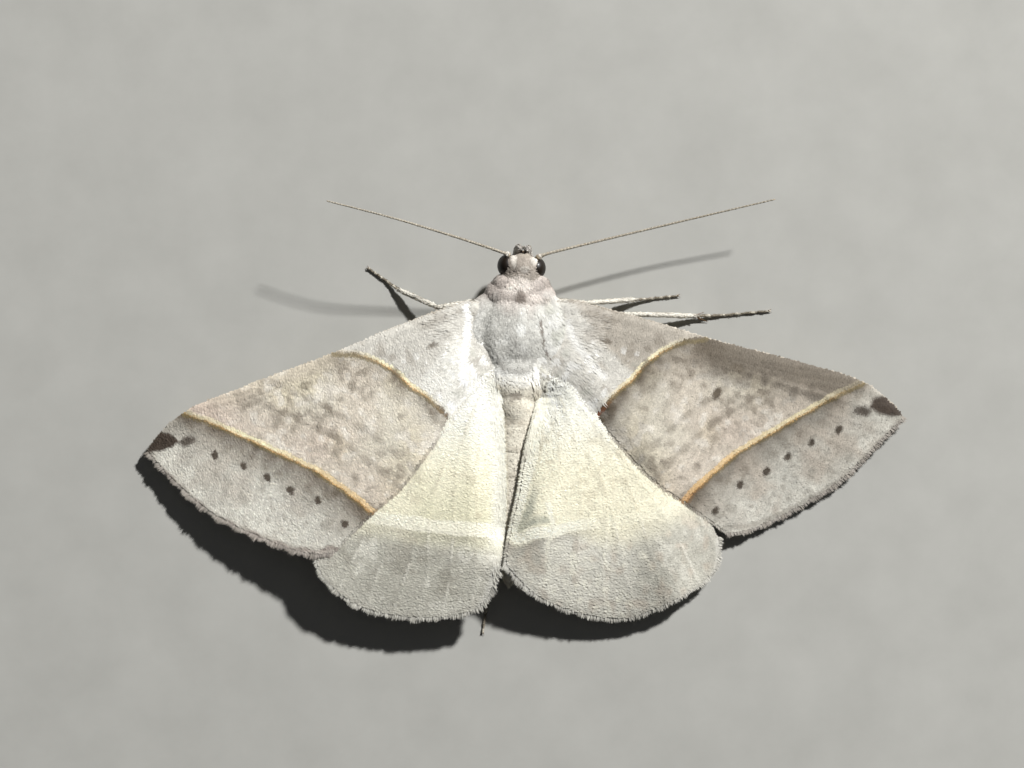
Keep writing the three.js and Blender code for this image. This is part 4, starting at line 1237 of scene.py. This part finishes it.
for name, (parts, coat, density, slotName) in groups.items():
    chosen = np.flatnonzero(np.isin(faceParts, parts))
    chosen = np.repeat(chosen, int(math.ceil(density)))
    chosen = chosen[rng.uniform(size=len(chosen)) < density / math.ceil(density)]
    roots, normals = faceMiddles[chosen], faceNormals[chosen]
    roots = roots + np.cross(normals, rng.normal(size=roots.shape)) * body["voxel"] * 0.35
    kinds = faceParts[chosen]
    scale = np.ones(len(roots))
    limbLike = coat in ("leg", "foot", "abdomen", "palp")
    if limbLike:
        lie, share = np.zeros_like(roots), np.zeros(len(roots))
        angle = np.zeros(len(roots))
        for index, part in enumerate(parts):
            these = kinds == part
            offset, _, share[these], lie[these] = nearest(roots[these], limbs[part][0])
            angle[these] = np.arctan2(np.cross(lie[these], offset)[:, 2], offset[:, 2]) / (2 * np.pi)
            share[these] += index
        unwrap = np.column_stack([share, angle])
        if coat == "abdomen":  # longer at the end of each segment
            segment = (share * body["abdomen"]["segments"]) % 1
            scale = 0.85 + 0.35 * ramp(segment, 0.6, 1.0)
        if coat == "leg":
            scale = np.where(np.char.endswith(kinds, "femur"), 1.25, 1.0)
        if coat == "palp":
            scale = 1.15 - 0.35 * ramp(share, 0.6, 1.0)
    else:
        x = roots[:, 0]
        outwards = np.sign(x) * ramp(np.abs(x), 1.2, 2.2)
        lie = np.column_stack([0.25 * x + 0.5 * outwards, -np.ones(len(x)), -0.15 * np.ones(len(x))])
        if coat == "head":
            ahead = 2 * ramp(roots[:, 1], 2.75, 3.25) - 0.8  # parted where the neck begins
            lie = np.column_stack([0.9 * (x - 0.3), ahead, -0.1 - 0.9 * ramp(roots[:, 1], 3.5, 3.9)])
            scale = 0.7 + 0.35 * ramp(roots[:, 2], 3.1, 3.45) - 0.15 * ramp(roots[:, 1], 3.6, 3.9)
        if coat == "collar":  # combed back over the thorax
            lie = np.column_stack([0.5 * x, -0.8 - 0.3 * np.abs(x), -0.1 - 0.2 * np.abs(x)])
            scale = 0.75 + 0.35 * ramp(2.4 - roots[:, 1], 0, 0.8)
        unwrap = unfold(roots - unwrapFrom[name])
        if coat in ("thorax", "tegula"):
            scale = 0.8 + 0.35 * ramp(-roots[:, 1], 0.8, 2.2) + 0.35 * ramp(np.abs(x), 1.2, 2.0)
    clear = np.ones(len(roots), bool)
    for middle in eyeMiddles:  # nothing lies over the eyes
        for reach, limit in ((0, 0.98), (0.1, 1.0), (0.2, 1.0)):
            away = (roots + unit(lie) * reach - middle) / eyes["clear"]
            clear &= np.linalg.norm(away, axis=1) > limit
    roots, normals, lie, unwrap, kinds, scale = keepOnly(clear, roots, normals, lie, unwrap, kinds, scale)
    shown = roots + unit(lie) * (0.55 * coats[coat]["length"] * scale)[:, None] * (not limbLike)
    growCoat(name, roots, normals, lie, coats[coat], bodyColour(shown, kinds), unwrap,
             legCoat if coat in ("leg", "foot") else hairCoat, scale=scale)
# a tuft of fine hair closes the abdomen's end
count, ring = 700, -8  # how many hairs, and the ring of the abdomen that they start from
line, radii = limbs["abdomen"]
back = unit(line[-1] - line[-2])
beside = unit(np.cross(back, (0, 0, 1)))
spin, along = rng.uniform(0, 2 * np.pi, count), rng.uniform(0, 1, count) ** 0.7
upwards = np.cross(beside, back)
around = np.outer(np.cos(spin), beside) + np.outer(np.sin(spin), upwards) * body["abdomen"]["flatness"]
girth = radii[ring] * np.sqrt(1 - 0.95 * along ** 2)
roots = line[ring] + np.outer(along, line[-1] - line[ring]) + around * girth[:, None]
growCoat("tail_tuft", roots, unit(around + 0.3 * back), back + 0.25 * around, coats["tail"],
         Paint(bodyLook, "abdomen", count).over("cream", rng.uniform(0, 0.8, count)).colour,
         np.column_stack([spin, along]), hairCoat)
print("body coated")

# Wing roots and inner margins: long soft hair that hides where the wings leave the body
wingHair = {
    "forewing": {"count": 6500, "rim": 1600, "rimWidth": 0.06, "scale": 0.6, "stray": 6,
                 "pale": "basalWhite"},
    "hindwing": {"count": 3800, "scale": 0.5, "stray": 12, "pale": "inner",
                 "left": {"reach": 1.0, "spread": 0.5}, "right": {"reach": 0.45, "spread": 0.8}},
    "clearOfBody": 0.9, "lift": 0.02, "paleShare": 0.08, "scaleVary": 0.4,
}
for sideName, side in sides.items():
    for kind in wingCoats:
        wing, hair = wings[f"{kind}_{sideName}"], wingHair[kind]
        count = hair["count"]
        if kind == "forewing":
            flat = np.column_stack([rng.triangular(-0.6, -0.3, 2.6, count), rng.uniform(-1.1, 3.6, count)])
            flat = flat[inside(flat, wingOutline(wing["edges"], (0, 1, 0.02, 0.96)))]
            s = rng.uniform(0.02, 0.28, hair["rim"])
            t = 1 - np.abs(rng.normal(size=hair["rim"])) * hair["rimWidth"]
            flat = np.vstack([flat, wingPatch(wing["edges"], s, np.minimum(t, 0.97))])
        else:
            s = rng.triangular(0.02, 0.1, hair[sideName]["reach"], count)
            spread = 0.05 + hair[sideName]["spread"] * np.maximum(0, 0.35 - s)
            t = 1 - np.abs(rng.normal(size=count)) * spread
            flat = wingPatch(wing["edges"], s[t > 0.1], np.minimum(t, 0.985)[t > 0.1])
        heading = unit(flat - wing["root"])
        if kind == "forewing":  # near its rear edge the hair turns back, over the hindwing
            rear = nearest(flat, wing["rearLine"])[1]
            heading = unit(heading + np.outer(1.6 * band(rear, 0.7, 0.5), (0, 1)))
        places, normals, lie = rootedOn(wing, flat, heading)
        keep = bodyDepth(places) > wingHair["clearOfBody"]
        flat, places, normals, lie = keepOnly(keep, flat, places, normals, lie)
        colours = mix(wing["colour"](wing, flat), linear(wing["look"][hair["pale"]]), wingHair["paleShare"])
        scale = hair["scale"] + wingHair["scaleVary"] * rng.uniform(size=len(flat))
        growCoat(f"{kind}_{sideName}_hair", places + normals * wingHair["lift"], normals, lie,
                 dict(coats["wingHair"],
                      stray=hair["stray"]), colours, flat, hairCoat, scale=scale)


# Skin material and piece
skinMaterial, tree = startMaterial("cuticle, thin brown chitin under the scales")
colour = markedColour(tree, objectNoise(tree, 0.4, {"Detail": 4.0}), {"To Min": 0.8, "To Max": 1.15})
pores = bumpFrom(tree, objectNoise(tree, 0.06, kind="Voronoi").outputs["Distance"], 0.3, 0.006)
finishMaterial(skinMaterial, tree, addNode(
    tree, "ShaderNodeBsdfPrincipled", {"Roughness": 0.5, "IOR": chitinIor, "Specular IOR Level": 0.35},
    {"Base Color": colour.outputs["Vector"], "Normal": pores.outputs["Normal"]}))
fleshNodes = [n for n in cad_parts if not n.startswith(("eye_", "antenna_", "proboscis"))]
addPiece("skin", skinMesh, skinMaterial, nodes=fleshNodes)


# Eyes: domes of small six-sided lenses under a clear cornea
eyeMaterial = blotchedMaterial(
    "compound eye, dark brown under clear cornea",
    {"dark": "#0b0907", "pale": "#241b12", "blotch": 0.45, "noise": {"Detail": 2.0}, "lens": 0.045,
     "rim": (0.25, 0.004)},
    {"Roughness": 0.45, "IOR": 1.4, "Coat Weight": 0.15, "Coat Roughness": 0.2})
for sideName, side in sides.items():
    bm = bmesh.new()
    bmesh.ops.create_icosphere(bm, subdivisions=5, radius=1)
    lenses = len(bm.verts)
    bmesh.ops.subdivide_edges(bm, edges=bm.edges[:], cuts=1, use_grid_fill=True)
    bm.verts.ensure_lookup_table()
    for index, vert in enumerate(bm.verts):
        vert.co = vert.co.normalized() * (1 + (eyes["lensRise"] if index < lenses else 0))
    across, *rest = eyes["centre"]
    centre = Matrix.Translation((across * side["sign"], *rest))
    matrix = headPlace @ centre @ Matrix.Diagonal((*eyes["radii"], 1))
    bmesh.ops.transform(bm, matrix=matrix, verts=bm.verts)
    addSolid("eye_lenses_" + sideName, bm, eyeMaterial, ["eye_" + sideName])

# Feelers: a ball joint at the root, then short barrel-shaped segments that get finer to the tip
feeler = {
    "segments": 68, "rootRadius": 0.07, "tipRadius": 0.03, "sides": 10, "barrel": (0.8, 1.05, 1.0),
    "scapeAndPedicel": (0.11, 0.15, 0.15, 0.1, 0.12), "scales": 2400, "senseHairs": 1200, "tuft": 260,
}
feelerMaterial = blotchedMaterial(
    "feeler segments, pale brown chitin",
    {"dark": "#8d7d66", "pale": "#b7a98f", "blotch": 0.15, "bump": (0.3, 0.006)},
    {"Roughness": 0.5, "IOR": chitinIor})
for sideName, side in sides.items():
    steps = feeler["segments"] * 3 + 1
    line = curve(side["antenna"], steps)
    share = np.linspace(0, 1, steps)
    radii = feeler["rootRadius"] + (feeler["tipRadius"] - feeler["rootRadius"]) * share ** 0.8
    radii = radii * np.array(feeler["barrel"])[np.arange(steps) % 3]
    radii[:5] = feeler["scapeAndPedicel"]
    radii[-1] *= 0.5
    bm = bmesh.new()
    tube(bm, line, radii, feeler["sides"])
    addSolid("antenna_segments_" + sideName, bm, feelerMaterial, ["antenna_" + sideName])
    # pale scales along the upper side, and fine sense hairs below
    count = feeler["scales"] + feeler["senseHairs"]
    isScale = np.arange(count) < feeler["scales"]
    along = rng.uniform(0.01, 0.985, count)
    spin = np.where(isScale, rng.uniform(-1.5, 1.5, count), rng.uniform(1.6, 4.7, count))
    centres = np.column_stack([np.interp(along, share, line[:, k]) for k in range(3)])
    headings = unit(np.column_stack([np.interp(along, share, np.gradient(line[:, k])) for k in range(3)]))
    across = unit(np.cross(headings, (0, 0, 1)))
    rise = np.cross(across, headings)
    normals = across * np.sin(spin)[:, None] + rise * np.cos(spin)[:, None]
    roots = centres + normals * (0.92 * np.interp(along, share, radii))[:, None]
    lie = np.where(isScale[:, None], headings, headings * 0.35 + normals)
    ringed = ramp(np.cos(along * feeler["segments"] * 2 * np.pi), -0.2, 0.8)
    colours = Paint(bodyLook, "foot", count).over("footPale", (0.3 + 0.6 * ringed) * isScale).colour
    scale = np.where(isScale, 1.0, 0.8) * (1 - 0.4 * along)
    look = dict(coats["foot"], length=0.13, width=0.045)
    growCoat("antenna_scales_" + sideName, roots, normals, lie, look, colours,
             np.column_stack([along, (spin + 1.6) / 6.3]), legCoat, scale=scale)
    # a small tuft at the feeler's root, whiter on the left
    directions = unit(rng.normal(size=(feeler["tuft"], 3)) + (0, 0, 0.9))
    roots = line[2] + directions * (0.09, 0.09, 0.08)
    lie = directions * 0.4 + unit(line[6] - line[0]) * 0.9
    whiter = rng.uniform(0, 0.9, feeler["tuft"]) * (side["sign"] < 0)
    growCoat("antenna_tuft_" + sideName, roots, directions, lie, dict(coats["head"], length=0.15),
             Paint(bodyLook, "headPale", feeler["tuft"]).over("tuft", whiter).colour,
             unfold(directions), hairCoat)

# Horny parts: the coiled tongue, the claws and the spurs of the shins
hornMaterial = blotchedMaterial(
    "horn, dark amber chitin, smooth", {"dark": "#3c2a18", "pale": "#7a5a36", "blotch": 0.2},
    {"Roughness": 0.35, "IOR": chitinIor, "Coat Weight": 0.2})
tongue = {"turns": 2.4, "outer": 0.31, "inner": 0.09, "radius": 0.065, "middle": (0, 1.42, 1.66)}
turns = np.linspace(0, 1, 130)
coil = tongue["outer"] + (tongue["inner"] - tongue["outer"]) * turns
angles = math.radians(100) - turns * tongue["turns"] * 2 * np.pi
line = np.column_stack([0.05 * turns, tongue["middle"][1] + coil * np.cos(angles),
                        tongue["middle"][2] + coil * np.sin(angles)])
radii = tongue["radius"] * (1 - 0.45 * turns) * (1 + 0.06 * np.cos(turns * 2 * np.pi * 43))
bm = bmesh.new()
tube(bm, moved(headPlace, line), radii, 10)
addSolid("proboscis_coil", bm, hornMaterial, ["proboscis"])

bm = bmesh.new()
claw = {"length": 0.2, "radius": 0.028, "spread": 0.45}
spur = {"radius": 0.05, "onwards": 0.95, "aside": 0.35, "down": 0.12, "above": 0.06,
        "sizes": {1: 0.85, -1: 0.6}, "places": {"fore": [], "mid": [0.98], "hind": [0.6, 0.98]}}
for sideName, side in sides.items():
    for pair, points in side["legs"].items():
        knee, ankle, instep, toe = (np.array(p, float) for p in points[1:])
        heading = unit(toe - instep)
        across = unit(np.cross(heading, (0, 0, 1)))
        for sign in (-1, 1):
            t = np.linspace(0, 1, 7)[:, None]
            line = toe - heading * 0.05 + (heading + across * sign * claw["spread"]) * claw["length"] * t
            line[:, 2] = toe[2] + 0.03 * np.sin(t[:, 0] * np.pi) - (toe[2] - 0.012) * t[:, 0] ** 2
            tube(bm, line, claw["radius"] * (1 - 0.85 * t[:, 0]), 6)
        shin = unit(ankle - knee)
        for share in spur["places"][pair]:
            base = knee + (ankle - knee) * share
            for sign in (-1, 1):
                beside = unit(np.cross(shin, (0, 0, 1))) * sign
                t = np.linspace(0, 1, 6)[:, None]
                heading = shin * spur["onwards"] + beside * spur["aside"] - np.array((0, 0, spur["down"]))
                line = base + heading * spur["sizes"][sign] * t
                line[:, 2] = np.maximum(line[:, 2], spur["above"])
                tube(bm, line, spur["radius"] * (1 - 0.75 * t[:, 0]), 7)
addSolid("claws_and_spurs", bm, hornMaterial)


# Floor, light and camera
bm = bmesh.new()
bmesh.ops.create_grid(bm, x_segments=8, y_segments=8, size=0.6)
floor = bpy.data.objects.new("floor", toMesh("floor", bm, smooth=False))
bpy.context.scene.collection.objects.link(floor)
floor.data.materials.append(blotchedMaterial(
    "floor, matt pale grey paint",
    {"dark": "#9f9e98", "pale": "#b4b3ad", "blotch": 1 / 0.26, "noise": {"Detail": 6.0, "Roughness": 0.6}},
    {"Roughness": 0.85}))

studio = {
    "keyFrom": (0.84, 1.04, 1.0), "keyDistance": 0.5, "keySize": 0.034, "keyPower": 4.45,
    "fillFrom": (0.1, 0.1, 1.0), "fillDistance": 0.6, "fillSize": 0.5, "fillPower": 0.06,
    "worldColour": "#eef1f6", "worldStrength": 0.05,
}
subject = Vector((0, 0, 0.002))  # the middle of the moth, in metres


def addLight(name, heading, distance, size, power):
    lamp = bpy.data.lights.new(name, "AREA")
    lamp.shape, lamp.size, lamp.energy = "DISK", size, power
    light = bpy.data.objects.new(name, lamp)
    bpy.context.scene.collection.objects.link(light)
    away = Vector(heading).normalized()
    light.location = subject + away * distance
    light.rotation_euler = away.to_track_quat("Z", "Y").to_euler()


for lampName in ("key", "fill"):
    addLight(lampName, *(studio[lampName + setting] for setting in ("From", "Distance", "Size", "Power")))
world = bpy.data.worlds.new("studio")
bpy.context.scene.world = world
world.use_nodes = True
background = world.node_tree.nodes["Background"]
background.inputs["Color"].default_value = (*linear(studio["worldColour"]), 1)
background.inputs["Strength"].default_value = studio["worldStrength"]
bpy.context.scene.view_settings.view_transform = "Standard"

cameraPlan = {"over": (-0.72, 1.62), "height": 250, "width": 53.45, "sensor": 36}  # millimetres
cameraData = bpy.data.cameras.new("camera")
cameraData.sensor_width = cameraPlan["sensor"]
cameraData.lens = cameraPlan["sensor"] * (cameraPlan["height"] * mm - subject.z) / (cameraPlan["width"] * mm)
cameraData.clip_start, cameraData.clip_end = 0.01, 10
camera = bpy.data.objects.new("camera", cameraData)
bpy.context.scene.collection.objects.link(camera)
camera.location = [v * mm for v in (*cameraPlan["over"], cameraPlan["height"])]
bpy.context.scene.camera = camera

print("scene finished")
